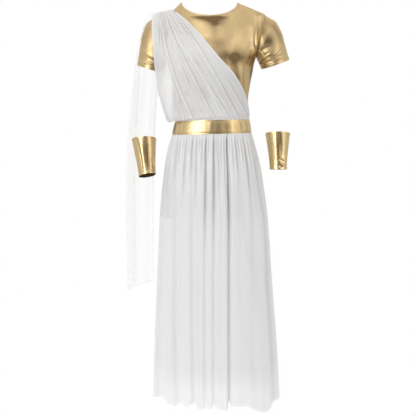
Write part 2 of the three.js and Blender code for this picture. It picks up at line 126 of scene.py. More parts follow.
def soft_box(name, place, aim, size, power, colour=(1, 1, 1)):
    """A square lamp that faces a point."""
    bpy.ops.object.select_all(action="DESELECT")
    turn = (Vector(aim) - Vector(place)).to_track_quat("-Z", "Y").to_euler()
    bpy.ops.object.light_add(type="AREA", location=place, rotation=turn)
    lamp = bpy.context.object
    lamp.name = name
    lamp.data.size = size
    lamp.data.energy = power
    lamp.data.color = colour


bpy.ops.object.select_all(action="DESELECT")
bpy.ops.mesh.primitive_plane_add(size=12, location=(0, 5.4, FLOOR_LEVEL))
floor = bpy.context.object
floor.name = "studio_floor"
floor_look, floor_tree, floor_paper = principled("studio_floor", Base_Color=PAPER, Roughness=0.9)
floor_white = add_node(floor_tree, "ShaderNodeEmission", Color=(1, 1, 1, 1), Strength=1.0)
seen_white(floor_tree, floor_paper, floor_white, floor_tree.nodes["Material Output"])
floor.data.materials.append(floor_look)

soft_box("key_box", (-2.2, -3.3, 0.3), (0, 0, -0.7), 2.2, 62)
soft_box("fill_box", (2.9, -2.2, 0.0), (0, 0, -0.7), 2.2, 22)
soft_box("top_box", (0.0, -1.4, 2.3), (0, 0, -0.5), 2.0, 14)
soft_box("back_box", (0.4, 3.2, 0.8), (0, 0, -0.7), 2.2, 26)

DARK_SIDE = (0.17, -0.98, -0.08)
WORLD_LEVEL = 0.8
world = bpy.data.worlds.new("studio")
bpy.context.scene.world = world
world.use_nodes = True
studio = world.node_tree
studio.nodes.clear()
direction = studio.nodes.new("ShaderNodeTexCoord")
parts = studio.nodes.new("ShaderNodeSeparateXYZ")
towards = studio.nodes.new("ShaderNodeVectorMath")
towards.operation = "DOT_PRODUCT"
towards.inputs[1].default_value = DARK_SIDE
darker = add_node(studio, "ShaderNodeMapRange", From_Min=0.72, From_Max=0.97, To_Min=1.0, To_Max=0.22)
higher = add_node(studio, "ShaderNodeMapRange", From_Min=-0.3, From_Max=0.7, To_Min=0.8, To_Max=1.12)
link(studio, direction, "Generated", parts, "Vector")
link(studio, direction, "Generated", towards, 0)
link(studio, towards, "Value", darker, "Value")
link(studio, parts, "Z", higher, "Value")
shaded = math_node(studio, "MULTIPLY", (darker, "Result"), (higher, "Result"))
level = math_node(studio, "MULTIPLY", (shaded, 0), WORLD_LEVEL)
glow = add_node(studio, "ShaderNodeBackground", Color=(1.0, 0.985, 0.96, 1))
link(studio, level, 0, glow, "Strength")
white = add_node(studio, "ShaderNodeBackground", Color=(1, 1, 1, 1), Strength=1.0)
seen_white(studio, glow, white, studio.nodes.new("ShaderNodeOutputWorld"))
print("studio with", len(bpy.data.lights), "lamps")

# %% [markdown]
# Every cloth here is woven or knitted, and its threads run with the cut of the piece. The UV map of each
# piece is its flat pattern in metres, so one group of nodes can draw threads of a true size on any of them:
# two sets of fine bands crossing at right angles.

# %% Shader group: crossed threads
BANDS_PER_UNIT = 20 / (2 * math.pi)


def group_with(name, inputs, outputs):
    """An empty node group with named sockets, its input node and its output node."""
    group = bpy.data.node_groups.new(name, "ShaderNodeTree")
    for socket, kind, value in inputs:
        made = group.interface.new_socket(socket, in_out="INPUT", socket_type=kind)
        if value is not None:
            made.default_value = value
    for socket, kind in outputs:
        group.interface.new_socket(socket, in_out="OUTPUT", socket_type=kind)
    return group, group.nodes.new("NodeGroupInput"), group.nodes.new("NodeGroupOutput")


threads, threads_in, threads_out = group_with(
    "crossed_threads",
    [("Vector", "NodeSocketVector", None), ("Threads per metre", "NodeSocketFloat", 2000.0)],
    [("Height", "NodeSocketFloat")],
)
wave_scale = math_node(threads, "DIVIDE", (threads_in, "Threads per metre"), BANDS_PER_UNIT)
warp = threads.nodes.new("ShaderNodeTexWave")
warp.bands_direction = "X"
weft = threads.nodes.new("ShaderNodeTexWave")
weft.bands_direction = "Y"
for bands in (warp, weft):
    link(threads, threads_in, "Vector", bands, "Vector")
    link(threads, wave_scale, 0, bands, "Scale")
crossing = math_node(threads, "MAXIMUM", (warp, "Fac"), (weft, "Fac"))
link(threads, crossing, 0, threads_out, "Height")
print("group", threads.name)

# %% [markdown]
# Foil is a thin metal film stuck on a knit. It crinkles in soft facets a few centimetres across with finer
# ones between them, and it is duller where it has rubbed. The group gives one height for the crinkles, and
# one mask for the worn and darker places.

# %% Shader group: foil crinkle
crinkle, crinkle_in, crinkle_out = group_with(
    "foil_crinkle",
    [("Vector", "NodeSocketVector", None), ("Facet size", "NodeSocketFloat", 0.03)],
    [("Height", "NodeSocketFloat"), ("Rubbed", "NodeSocketFloat")],
)
facets = add_node(crinkle, "ShaderNodeTexNoise", Detail=2.0, Roughness=0.45, Distortion=0.6)
fine = add_node(crinkle, "ShaderNodeTexNoise", Detail=3.0, Roughness=0.55, Distortion=0.3)
rubbing = add_node(crinkle, "ShaderNodeTexNoise", Detail=4.0, Roughness=0.6)
for noise, per_facet in ((facets, 1.0), (fine, 4.5), (rubbing, 0.6)):
    noise_scale = math_node(crinkle, "DIVIDE", per_facet, (crinkle_in, "Facet size"))
    link(crinkle, crinkle_in, "Vector", noise, "Vector")
    link(crinkle, noise_scale, 0, noise, "Scale")
whole = math_node(crinkle, "MULTIPLY_ADD", (fine, "Fac"), 0.12, (facets, "Fac"))
link(crinkle, whole, 0, crinkle_out, "Height")
brown_share = add_node(crinkle, "ShaderNodeMapRange", From_Min=0.4, From_Max=0.66)
link(crinkle, rubbing, "Fac", brown_share, "Value")
link(crinkle, brown_share, "Result", crinkle_out, "Rubbed")
print("group", crinkle.name)

# %% [markdown]
# The gold is a metal to the light: its colour is in its reflection. The pattern's own two colours are a
# warm gold and a browner one, which lies at random where the foil is rubbed and also as painted dark
# reflections and painted shade that each piece marks with an attribute. The wrong side of the cloth is the
# brown knit that the foil is stuck on. Each piece marks its wrong side with an attribute.

# %% Gold foil


def mix_colour(tree, factor, first, second):
    """A colour mix by a (node, output) pair. Each colour is a value or such a pair."""
    node = tree.nodes.new("ShaderNodeMix")
    node.data_type = "RGBA"
    for socket, value in ((0, factor), (6, first), (7, second)):
        if hasattr(value[0], "outputs"):
            link(tree, *value, node, socket)
        else:
            node.inputs[socket].default_value = value
    return node, 2


def attribute(tree, name):
    """What a piece's own mark says, as a (node, output) pair."""
    node = tree.nodes.new("ShaderNodeAttribute")
    node.attribute_name = name
    return node, "Fac"


def bump(tree, height, strength, distance, below=None):
    """A bump by a (node, output) pair, laid over the bump below it."""
    node = add_node(tree, "ShaderNodeBump", Strength=strength, Distance=distance)
    link(tree, *height, node, "Height")
    if below:
        link(tree, below, "Normal", node, "Normal")
    return node


def use_group(tree, group, source, **values):
    """A group node that reads the pattern's vector from a node."""
    node = tree.nodes.new("ShaderNodeGroup")
    node.node_tree = group
    link(tree, source, "UV", node, "Vector")
    set_inputs(node, values)
    return node


THREAD_STRENGTH, THREAD_HEIGHT = 0.2, 0.0002
KNIT_PER_METRE = 1400.0
KNIT_BROWN = (0.15, 0.085, 0.04, 1)
RUBBED_SHARE = 0.14


def gold_foil(name, colour, brown, facet_size, crinkle_height, roughness):
    """Foil of two colours on a brown knit."""
    material, tree, shader = principled(name)
    flat = tree.nodes.new("ShaderNodeTexCoord")
    wrong_side = attribute(tree, "wrong_side")
    foil = use_group(tree, crinkle, flat, Facet_size=facet_size)
    knit = use_group(tree, threads, flat, Threads_per_metre=KNIT_PER_METRE)
    # The brown share is the foil rubbed at random, plus the painted dark reflections and painted shade each
    # piece marks.
    brown_share = math_node(tree, "MULTIPLY_ADD", (foil, "Rubbed"), RUBBED_SHARE, attribute(tree, "tarnish"))
    brown_share.use_clamp = True
    face = mix_colour(tree, (brown_share, 0), colour, brown)
    both = mix_colour(tree, wrong_side, face, KNIT_BROWN)
    metal = math_node(tree, "MULTIPLY_ADD", wrong_side, -0.75, 0.95)
    dull = math_node(tree, "MULTIPLY_ADD", (foil, "Rubbed"), 0.1, roughness)
    duller = math_node(tree, "MULTIPLY_ADD", wrong_side, 0.35, (dull, 0))
    creased = bump(tree, (foil, "Height"), 1.0, crinkle_height)
    knitted = bump(tree, (knit, "Height"), THREAD_STRENGTH, THREAD_HEIGHT, creased)
    link(tree, *both, shader, "Base Color")
    link(tree, metal, 0, shader, "Metallic")
    link(tree, duller, 0, shader, "Roughness")
    link(tree, knitted, "Normal", shader, "Normal")
    return material


gold_jersey = gold_foil("gold_jersey", (0.66, 0.495, 0.265, 1), (0.14, 0.092, 0.043, 1), 0.05, 0.0013, 0.37)
gold_band = gold_foil("gold_band", (0.74, 0.565, 0.3, 1), (0.22, 0.135, 0.06, 1), 0.08, 0.0009, 0.26)
print("gold", gold_jersey.name, gold_band.name)

# %% [markdown]
# Chiffon is so thin and open that what lies behind it shows through. The look is a white dull cloth that
# lets part of the light pass, closer where the hem is turned over twice, with a soft sheen from its fine
# twisted threads. Slubs run along the fall of the cloth as faint long streaks. Little light reaches the
# bottom of a fold, so the pieces mark their folds and other shaded places, and the look is painted darker
# there as painted shade. Where the cloth lies double it is whiter, and the raised pleat edges get the same
# white as a painted highlight. The cape is one very light layer, and the lining is a closer plain weave.

# %% White cloths
SLUB_STRETCH = (1, 0.14, 1)
SLUB_SHADE, FOLD_SHADE = 0.93, 0.5
# The white of doubled cloth, also used as painted highlight on the drape's raised pleat edges.
DOUBLED_AND_HIGHLIGHT_WHITE = (0.99, 0.99, 1.0, 1)
THINNER = -0.28
CHIFFON_THREADS, LINING_THREADS = 2600.0, 3200.0


def white_cloth(name, colour, cover, hem_cover, threads_per_metre, slub_height):
    """A white cloth that covers a share of what lies behind it."""
    material, tree, shader = principled(name, Roughness=0.8, Sheen_Weight=0.1)
    flat = tree.nodes.new("ShaderNodeTexCoord")
    weave = use_group(tree, threads, flat, Threads_per_metre=threads_per_metre)
    drawn_out = add_node(tree, "ShaderNodeMapping", Scale=SLUB_STRETCH)
    slub = add_node(tree, "ShaderNodeTexNoise", Scale=70.0, Detail=4.0, Roughness=0.6)
    link(tree, flat, "UV", drawn_out, "Vector")
    link(tree, drawn_out, "Vector", slub, "Vector")
    shaded, deep = (
        tuple(channel * share for channel in colour[:3]) + (1,) for share in (SLUB_SHADE, FOLD_SHADE)
    )
    tint = mix_colour(tree, (slub, "Fac"), colour, shaded)
    # Painted shade at the marked folds and shaded places.
    folded = mix_colour(tree, attribute(tree, "fold"), tint, deep)
    # Whiter where the cloth lies double, and painted highlight on raised pleat edges.
    white = mix_colour(tree, attribute(tree, "doubled_and_highlight"), folded, DOUBLED_AND_HIGHLIGHT_WHITE)
    link(tree, *white, shader, "Base Color")
    if cover < 1:
        hemmed = math_node(tree, "MULTIPLY_ADD", attribute(tree, "hem"), hem_cover - cover, cover)
        thinned = math_node(tree, "MULTIPLY_ADD", attribute(tree, "sheer"), THINNER, (hemmed, 0))
        slubbed = math_node(tree, "MULTIPLY_ADD", (slub, "Fac"), 0.08 * cover, (thinned, 0))
        link(tree, slubbed, 0, shader, "Alpha")
    woven = bump(tree, (weave, "Height"), THREAD_STRENGTH, THREAD_HEIGHT)
    uneven = bump(tree, (slub, "Fac"), 0.5, slub_height, woven)
    link(tree, uneven, "Normal", shader, "Normal")
    return material


white_chiffon = white_cloth("white_chiffon", (0.95, 0.95, 0.96, 1), 0.64, 0.9, CHIFFON_THREADS, 0.0003)
# The drape is the same chiffon with a darker colour as painted shade.
draped_chiffon = white_cloth("draped_chiffon", (0.87, 0.87, 0.88, 1), 0.66, 0.8, CHIFFON_THREADS, 0.0001)
# The lining is white cloth; its grey colour is painted shade for the dark inside of the skirt.
white_lining = white_cloth("white_lining", (0.42, 0.42, 0.43, 1), 1.0, 1.0, LINING_THREADS, 0.0002)
sheer_chiffon = white_cloth("sheer_chiffon", (0.93, 0.93, 0.94, 1), 0.075, 0.24, CHIFFON_THREADS, 0.0001)
print("cloths", white_chiffon.name, draped_chiffon.name, white_lining.name, sheer_chiffon.name)

# %% [markdown]
# The cloth hangs on the filled-out form of the garment. Its sizes are kept in short tables, in millimetres,
# and a smooth curve runs through the rows of each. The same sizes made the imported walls, so a cloth drawn
# on them lies just where its wall does.

# %% Sizes of the form
SHOULDER_POINT = -42
ARMPIT = -194
ARMHOLE_MIDDLE, ARMHOLE_REACH, ARMHOLE_DEPTH = -118, 76, 57
WAIST_LEVEL, WAIST_SLANT = -422.0, 0.026
BAND_HEIGHT = 48
SLIP_TOP, SLIP_HEM = -448, -770
SEAM_GAP = 0.3
SHOULDER_ROUNDING = 120
NECK_CENTRE, NECK_HALF, NECK_FRONT_DROP, NECK_BACK_DROP = -5, 99, 51, 41
SHOULDER_HALF = 192
FORM = [
    # level, centre, half width, depth in front, depth at the back
    (0, 0, 192, 62, 60), (-42, 0, 192, 72, 76), (-72, 0, 188, 84, 88), (-109, 0, 177, 98, 99),
    (-137, 0, 170, 107, 104), (-170, 0, 164, 113, 106), (-194, 0, 161, 117, 106),
    (-220, 0, 154, 118, 104), (-250, 0, 149, 117, 101), (-290, 1, 140, 112, 97),
    (-350, 3, 130, 103, 92), (-400, 4, 130.5, 99, 89), (-422, 5, 133, 100, 91),
    (-470, 3.5, 142, 104, 95), (-520, 3.5, 154.5, 116, 108), (-590, 6, 169, 132, 128),
    (-675, 8, 181, 145, 140), (-772, 10, 192, 152, 148), (-1006, 13, 205, 163, 156),
    (-1264, 17.5, 218.5, 174, 166), (-1470, 21, 226, 181, 173),
]
SHOULDER_LINE = [
    (-260, -122), (-239, -86), (-209, -56), (-192, -42), (-139, -29), (-104, 0), (-5, 42), (94, 0),
    (192, -42),
]


def smooth(rows, column=1):
    """A smooth curve through one column of a table, with no overshoot between its rows."""
    table = np.array(sorted(rows), dtype=float)
    places, values = table[:, 0], table[:, column]
    spans = np.diff(places)
    slopes = np.diff(values) / spans
    before, after = np.append(slopes[0], slopes), np.append(slopes, slopes[-1])
    total = np.where(before + after == 0, 1, before + after)
    tangents = np.where(before * after > 0, 2 * before * after / total, 0)

    def at(place):
        inside = np.clip(place, places[0], places[-1])
        row = np.clip(np.searchsorted(places, inside, side="right") - 1, 0, len(spans) - 1)
        part = (inside - places[row]) / spans[row]
        rise = values[row + 1] - values[row]
        first = tangents[row] * spans[row] - rise
        last = tangents[row + 1] * spans[row] - rise
        return values[row] + rise * part + part * (1 - part) * ((1 - part) * first - part * last)

    return at


form_centre, form_half, form_front, form_back = (smooth(FORM, column) for column in (1, 2, 3, 4))
shoulder_line = smooth(SHOULDER_LINE)


def mix(first, second, part):
    return first + (second - first) * part


def ease(value, start, end):
    """0 before the start and 1 after the end, with a soft change between them."""
    part = np.clip((value - start) / (end - start), 0, 1)
    return part * part * (3 - 2 * part)


def waist_seam(x):
    return WAIST_LEVEL + WAIST_SLANT * x


def hip_seam(x):
    return waist_seam(x) - BAND_HEIGHT


def shoulder_round(drop):
    left = 1 - np.clip(drop / SHOULDER_ROUNDING, 0, 1)
    return np.sqrt(1 - left * left)


def top_point(share, z, side):
    """Points of the top at shares of its half width, side -1 in front and 1 at the back."""
    x = form_centre(z) + share * form_half(z)
    depth = form_front(z) if side < 0 else form_back(z)
    along = np.clip((z - ARMHOLE_MIDDLE) / ARMHOLE_REACH, -1, 1)
    edge = ARMHOLE_DEPTH * np.sqrt(1 - along * along) * np.abs(share) ** 7
    above = ease(z, ARMPIT - 60, ARMPIT + 90)
    bow = np.clip(1 - np.abs(share) ** mix(2, 2.4, above), 0, 1) ** mix(0.5, 1, above)
    y = edge + (depth - edge) * bow * shoulder_round(shoulder_line(x) - z)
    return np.stack([x, side * y, z], axis=-1)


def form_point(bearing, z, offset):
    """Points of the round form at bearings from the front, in degrees, moved out by an offset."""
    turn = np.radians(bearing)
    depth = np.where(np.cos(turn) >= 0, form_front(z), form_back(z))
    half = form_half(z)
    out_x, out_y = np.sin(turn) / half, -np.cos(turn) / depth
    length = np.hypot(out_x, out_y)
    x = form_centre(z) + half * np.sin(turn) + offset * out_x / length
    return np.stack([x, -depth * np.cos(turn) + offset * out_y / length, z], axis=-1)


print("form from", FORM[0][0], "to", FORM[-1][0], "mm")

# %% [markdown]
# Real cloth never lies even. A crease here is a soft trough or ridge along a short line, with its own
# width, depth and bow, so that the creases of the picture can be put in one by one, each as long and as
# deep as it shows.

# %% Helpers for cloth
MM = 0.001
CLOTH_WALL = 0.6


def creases(across, down, rows):
    """Height of all creases at points of the cloth. A row is x0, z0, x1, z1, width, height, bow."""
    total = np.zeros(np.broadcast(across, down).shape)
    for x0, z0, x1, z1, width, height, bow in rows:
        run, fall = x1 - x0, z1 - z0
        length = math.hypot(run, fall)
        along = ((across - x0) * run + (down - z0) * fall) / length**2
        aside = ((across - x0) * fall - (down - z0) * run) / length
        inside = np.clip(along, 0, 1)
        beyond = (along - inside) * length
        away = np.hypot(aside - bow * 4 * inside * (1 - inside), beyond)
        total += height * np.exp(-((away / width) ** 2)) * (0.3 + 0.7 * np.sin(np.pi * inside))
    return total


def round_creases(angle, down, rows, radius, scale=1, turns=(0,), mirror=1):
    """Creases of a round piece. A row has bearings in degrees for x, and a scale brings its z to mm."""
    arc = math.radians(1) * radius
    flat = [
        (a0 * mirror * arc, v0 * scale, a1 * mirror * arc, v1 * scale, *rest)
        for a0, v0, a1, v1, *rest in rows
    ]
    return sum(creases((angle + turn) * arc, down, flat) for turn in turns)


def outward(points, closed):
    """Direction out of a grid of points whose rows run down."""
    down = np.gradient(points, axis=0)
    across = np.gradient(points, axis=1)
    if closed:
        across[:, 0] = across[:, -1] = (points[:, 1] - points[:, -2]) / 2
    normal = np.cross(down, across)
    return normal / np.maximum(np.linalg.norm(normal, axis=-1, keepdims=True), 1e-9)


def grid_parts(columns, rows):
    """Part of the way across and down at each point of a grid."""
    return np.meshgrid(np.linspace(0, 1, columns + 1), np.linspace(0, 1, rows + 1))


def cloth(name, points, flat, closed=False, wall=CLOTH_WALL, **marks):
    """A sheet of cloth on a grid of points in millimetres, cut to a flat size in metres."""
    rows, columns = points.shape[0] - 1, points.shape[1] - 1
    bpy.ops.object.select_all(action="DESELECT")
    bpy.ops.mesh.primitive_grid_add(x_subdivisions=columns, y_subdivisions=rows, size=1)
    piece = bpy.context.object
    piece.name = name
    mesh = piece.data
    start = np.empty(len(mesh.vertices) * 3, np.float32)
    mesh.vertices.foreach_get("co", start)
    start = start.reshape(-1, 3)
    column = np.rint((start[:, 0] + 0.5) * columns).astype(int)
    row = np.rint((0.5 - start[:, 1]) * rows).astype(int)
    mesh.vertices.foreach_set("co", (points[row, column] * MM).astype(np.float32).ravel())
    corner = np.empty(len(mesh.loops), np.int32)
    mesh.loops.foreach_get("vertex_index", corner)
    pattern = np.stack([column / columns * flat[0], (1 - row / rows) * flat[1]], axis=-1)
    mesh.uv_layers.active.data.foreach_set("uv", pattern[corner].astype(np.float32).ravel())
    for label, values in marks.items():
        mark = mesh.attributes.new(label, "FLOAT", "POINT")
        mark.data.foreach_set("value", values[row, column].astype(np.float32))
    mesh.update()
    if closed:
        bpy.ops.object.mode_set(mode="EDIT")
        bpy.ops.mesh.select_all(action="SELECT")
        bpy.ops.mesh.remove_doubles(threshold=1e-6)
        bpy.ops.object.mode_set(mode="OBJECT")
    face_count = len(mesh.vertices)
    bpy.ops.object.modifier_add(type="SOLIDIFY")
    shell = piece.modifiers[-1]
    shell.thickness = wall * MM
    shell.offset = -1
    bpy.ops.object.modifier_apply(modifier=shell.name)
    mark = piece.data.attributes.new("wrong_side", "FLOAT", "POINT")
    behind = (np.arange(len(piece.data.vertices)) >= face_count).astype(np.float32)
    mark.data.foreach_set("value", behind)
    bpy.ops.object.shade_smooth_by_angle(angle=math.radians(65))
    return piece


def line_at(points, measure, level, columns=slice(None)):
    """Points where a measure that grows down the columns of a grid crosses a level."""
    points, measure = points[:, columns], measure[:, columns]
    row = np.clip((measure < level).sum(axis=0), 1, len(measure) - 1)
    column = np.arange(points.shape[1])
    before, after = measure[row - 1, column], measure[row, column]
    part = np.clip((level - before) / np.maximum(after - before, 1e-6), 0, 1)[:, None]
    return mix(points[row - 1, column], points[row, column], part)


def sewn(piece, node, look):
    """The piece takes its material, rides with the model and stands for its wall."""
    piece.data.materials.clear()
    piece.data.materials.append(look)
    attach(piece, "root")
    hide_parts(node)
    surface = sum(face.area for face in piece.data.polygons) / 2
    print(piece.name, len(piece.data.polygons) * 2, "triangles,", round(surface, 3), "m2 of cloth")


# %% [markdown]
# The top is cut as a front and a back with a round neck. Its neckline is turned in by 9 mm. The foil is
# stiff, so the body hardly drapes: there is a soft hollow under the neck, a dent at the wearer's left
# breast, drags from the armholes, and short creases that fan from the side seams.

# %% Gold top
TOP_COLUMNS, TOP_ROWS = 130, 120
SHOULDER_PART, ARMHOLE_PART = 0.2, 0.6
FOIL_RISE, HEM_RISE = 0.75, 0.6
NECK_HEM = 9
FRONT_CREASES = [
    # x0, z0, x1, z1, width, height, bow
    (-14, -84, 8, -150, 22, -1.6, 3), (52, -160, 92, -236, 24, 3.0, 6), (70, -200, 100, -270, 14, -4.2, 3),
    (62, -216, 74, -226, 5, 2.2, 0), (110, -250, 104, -360, 9, 2.2, -5), (124, -236, 118, -330, 5, -2.0, 3),
    (150, -120, 126, -176, 9, 0.6, 5), (150, -160, 124, -214, 7, 1.0, 4),
    (146, -206, 118, -232, 4, -2.0, 3), (146, -220, 122, -244, 3.5, 2.0, 2),
    (143, -232, 116, -262, 4, -2.2, -3), (138, -262, 116, -284, 4, 1.6, -2),
    (134, -290, 114, -330, 5, -1.8, 3), (128, -336, 112, -366, 5, 1.4, -3),
    (168, -60, 130, -120, 24, 0.5, 4), (96, -20, 70, -90, 22, 1.0, -3),
    (-150, -120, -118, -190, 9, -1.6, -5), (-146, -178, -112, -250, 7, -1.6, -4),
    (-60, -90, -84, -160, 14, 1.2, 3), (-30, -200, -12, -290, 16, -1.6, 4),
    (30, -280, 20, -372, 14, 1.4, -5), (-90, -300, -70, -380, 11, -1.4, 4),
    (20, -150, 60, -186, 20, -0.8, 3), (120, -60, 126, -150, 20, 0.8, 3),
]
# Painted dark reflections under the neck, at the breast and down the side, and painted shade along the
# armhole over a highlight.
FRONT_PAINTED_REFLECTIONS = [
    # x0, z0, x1, z1, width, depth of the brown, bow
    (-72, -57, 60, -57, 5, 0.9, 2), (-64, -63, 58, -63, 6, 0.8, 0), (-44, -71, 56, -71, 7, 0.7, 0),
    (-22, -82, 50, -82, 9, 0.6, 0), (-6, -94, 32, -94, 18, 0.3, 0), (6, -80, 16, -160, 18, 0.3, 0),
    (30, -190, 132, -198, 15, 0.65, 0), (40, -204, 126, -212, 14, 0.4, 0),
    (84, -210, 92, -300, 15, 0.75, 0), (60, -196, 98, -208, 34, 0.45, 0), (92, -256, 104, -300, 12, 0.4, 0),
    (152, -214, 138, -290, 4, 1.0, 2), (138, -294, 132, -400, 3.5, 0.8, 0),
    (167, -40, 164, -185, 5, 0.7, 0), (112, -240, 118, -330, 4, 0.25, 0), (-4, -54, 30, -54, 2.5, 0.5, 0),
]
BACK_CREASES = [
    (-10, -60, -16, -150, 14, -2.0, 4), (30, -130, 66, -215, 12, -2.4, -5),
    (-36, -150, -78, -240, 12, 2.2, 5), (150, -118, 104, -188, 7, -3.0, 6),
    (148, -160, 108, -244, 7, 2.4, 5), (146, -232, 98, -262, 5, -2.2, 3),
    (134, -292, 90, -322, 5, -2.4, -4), (128, -350, 84, -380, 5, -2.0, 3),
    (-150, -124, -110, -190, 7, -2.8, -6), (-148, -168, -110, -246, 7, 2.2, -5),
    (-142, -240, -92, -264, 5, -2.2, -3), (-130, -300, -96, -346, 5, -2.2, 4),
    (-126, -362, -80, -388, 5, -1.8, -3), (20, -280, 28, -380, 12, 1.8, 5),
    (-40, -290, -30, -390, 10, -1.6, -4), (70, -60, 60, -130, 9, -1.4, 3),
    (-86, -50, -74, -120, 9, 1.4, -3),
]


def top_panel(side):
    """Points of a half of the top, its brown places, and how far each point is from the neck's edge."""
    u, v = grid_parts(TOP_COLUMNS, TOP_ROWS)
    ends = (-SHOULDER_HALF, NECK_CENTRE - NECK_HALF, NECK_CENTRE + NECK_HALF, SHOULDER_HALF)
    neck = NECK_CENTRE - NECK_HALF * np.cos(np.pi * (u - SHOULDER_PART) / (1 - 2 * SHOULDER_PART))
    right = mix(ends[0], ends[1], u / SHOULDER_PART)
    left = mix(ends[2], ends[3], (u - (1 - SHOULDER_PART)) / SHOULDER_PART)
    x = np.where(u < SHOULDER_PART, right, np.where(u > 1 - SHOULDER_PART, left, neck))
    drop = NECK_FRONT_DROP if side < 0 else NECK_BACK_DROP
    from_neck = np.clip((x - NECK_CENTRE) / NECK_HALF, -1, 1)
    curve = np.sqrt(np.clip(1 - from_neck**2, 0, 1))
    upper = np.where(np.abs(from_neck) < 1, -drop * curve, shoulder_line(x))
    share = x / SHOULDER_HALF
    seam = waist_seam(share * form_half(WAIST_LEVEL)) + SEAM_GAP
    turn = (1 - np.cos(np.pi * np.clip(v / ARMHOLE_PART, 0, 1))) / 2
    body = mix(ARMPIT, seam, (v - ARMHOLE_PART) / (1 - ARMHOLE_PART))
    z = np.where(v <= ARMHOLE_PART, mix(upper, ARMPIT, turn), body)
    points = top_point(share, z, side)
    points[..., 1] += side * SEAM_GAP / 2
    across, down = (x - NECK_CENTRE) / NECK_HALF, z / drop
    ring = np.hypot(across, down)
    inside_edge = (ring - 1) * ring / np.hypot(across / NECK_HALF, down / drop)
    hem = 1 - ease(inside_edge, NECK_HEM - 1, NECK_HEM + 2)
    at_seam = ease(1 - np.abs(share), 0, 0.13)
    rows = FRONT_CREASES if side < 0 else BACK_CREASES
    rolled = 0.9 * np.exp(-(((inside_edge - 2) / 1.6) ** 2))
    bumps = creases(points[..., 0], z, rows) * at_seam * ease(inside_edge, 4, 20)
    height = FOIL_RISE + HEM_RISE * hem + rolled + bumps
    brown = creases(points[..., 0], z, FRONT_PAINTED_REFLECTIONS) if side < 0 else np.zeros_like(z)
    brown = np.clip(brown, 0, 1) * ease(inside_edge, 1, 7)
    if side > 0:
        points, height = points[:, ::-1], height[:, ::-1]
    return points + outward(points, False) * height[..., None], brown, inside_edge


TOP_FLAT = (0.46, 0.43)
NECK_COLUMNS = slice(int(0.205 * TOP_COLUMNS) + 1, int(0.795 * TOP_COLUMNS))
STITCH_LINES = []
TOPS = (("gold_top_front", "top_front", -1), ("gold_top_back", "top_back", 1))
for name, node, side in TOPS:
    points, brown, inside_edge = top_panel(side)
    piece = cloth(name, points, TOP_FLAT, tarnish=brown)
    line = line_at(points, inside_edge, NECK_HEM - 2, NECK_COLUMNS)
    STITCH_LINES.append((name + "_neck_stitches", line, "gold_jersey"))
    sewn(piece, node, gold_jersey)

# %% [markdown]
# Each sleeve is one piece, closed round the arm and set into the armhole. The cap stands up from
# the shoulder seam, the hem is turned up by 12 mm, and the cloth creases where the arm would bend it: from
# the armpit up over the front, and across the crown.

# %% Sleeves
SLEEVE_COLUMNS, SLEEVE_ROWS = 140, 70
SLEEVE_CAP = [(0, 0), (0.1, 10), (0.25, 24), (0.45, 23), (0.65, 15), (0.84, 7), (1, 0)]
SLEEVE_HEM = 12
SLEEVE_LENGTH, SLEEVE_RADIUS = 165, 58
SLEEVE_CREASES = [
    # degrees from the crown to the front, mm down the sleeve, twice, width, height in mm, bow
    (168, 30, 128, 52, 3.2, 2.8, 2), (172, 44, 118, 66, 3.6, -3.0, 3), (170, 58, 104, 84, 3.2, 3.2, 4),
    (166, 76, 92, 112, 4.0, -3.6, 5), (160, 92, 84, 132, 3.0, 3.4, 5), (150, 108, 78, 146, 3.6, -2.8, 4),
    (176, 96, 140, 128, 3.4, 2.8, -3), (140, 30, 108, 44, 5, -2.2, 3), (120, 70, 96, 96, 6, -2.0, 3),
    (100, 40, 70, 92, 14, -2.2, 5), (40, 8, 62, 74, 14, -1.2, 5), (20, 40, 34, 120, 14, 1.0, -6),
    (-30, 14, -52, 92, 12, -1.4, -6), (-168, 10, -92, 78, 7, -3.2, -7), (-172, 48, -86, 120, 6, 2.8, -6),
    (-166, 84, -100, 140, 5, -2.4, -4), (-60, 60, -44, 140, 12, 1.2, 5), (113, 122, 42, 108, 2.6, 3.8, 3),
    (110, 45, 80, 66, 2.4, 3.0, 2), (132, 8, 104, 20, 2.4, 2.4, 2), (134, 12, 122, 74, 2.4, 2.8, -3),
    (124, 126, 60, 146, 3.0, -2.4, -3), (104, 138, 40, 150, 2.6, 1.8, 3), (80, 118, 30, 138, 5, -1.6, 3),
]
# Painted dark reflections on the sleeve, and painted shade near its seam over a highlight.
SLEEVE_PAINTED_REFLECTIONS = [
    (150, 4, 40, 4, 8, 0.6, 0), (96, 8, 60, 20, 8, 0.4, 0), (150, 12, 96, 12, 9, 0.6, 0),
    (100, 24, 66, 78, 18, 0.85, 0), (120, 30, 98, 60, 11, 0.6, 0), (112, 96, 84, 118, 6, 0.7, 3),
    (118, 74, 92, 92, 6, 0.7, 0), (172, 20, 164, 150, 8, 0.45, 0), (84, 128, 50, 136, 5, 0.4, 0),
    (52, 6, 38, 100, 10, 0.5, -4), (110, 130, 60, 150, 4, 0.6, 2), (96, 112, 70, 124, 4, 0.5, 2),
]
SLEEVES = [
    # piece, node, side, hem's outer and inner corner, depth, dip
    ("gold_sleeve_left", "sleeve_left", 1, (281, -203), (182, -237), 64, 6),
    ("gold_sleeve_right", "sleeve_right", -1, (265, -223), (169, -251), 64, 5),
]


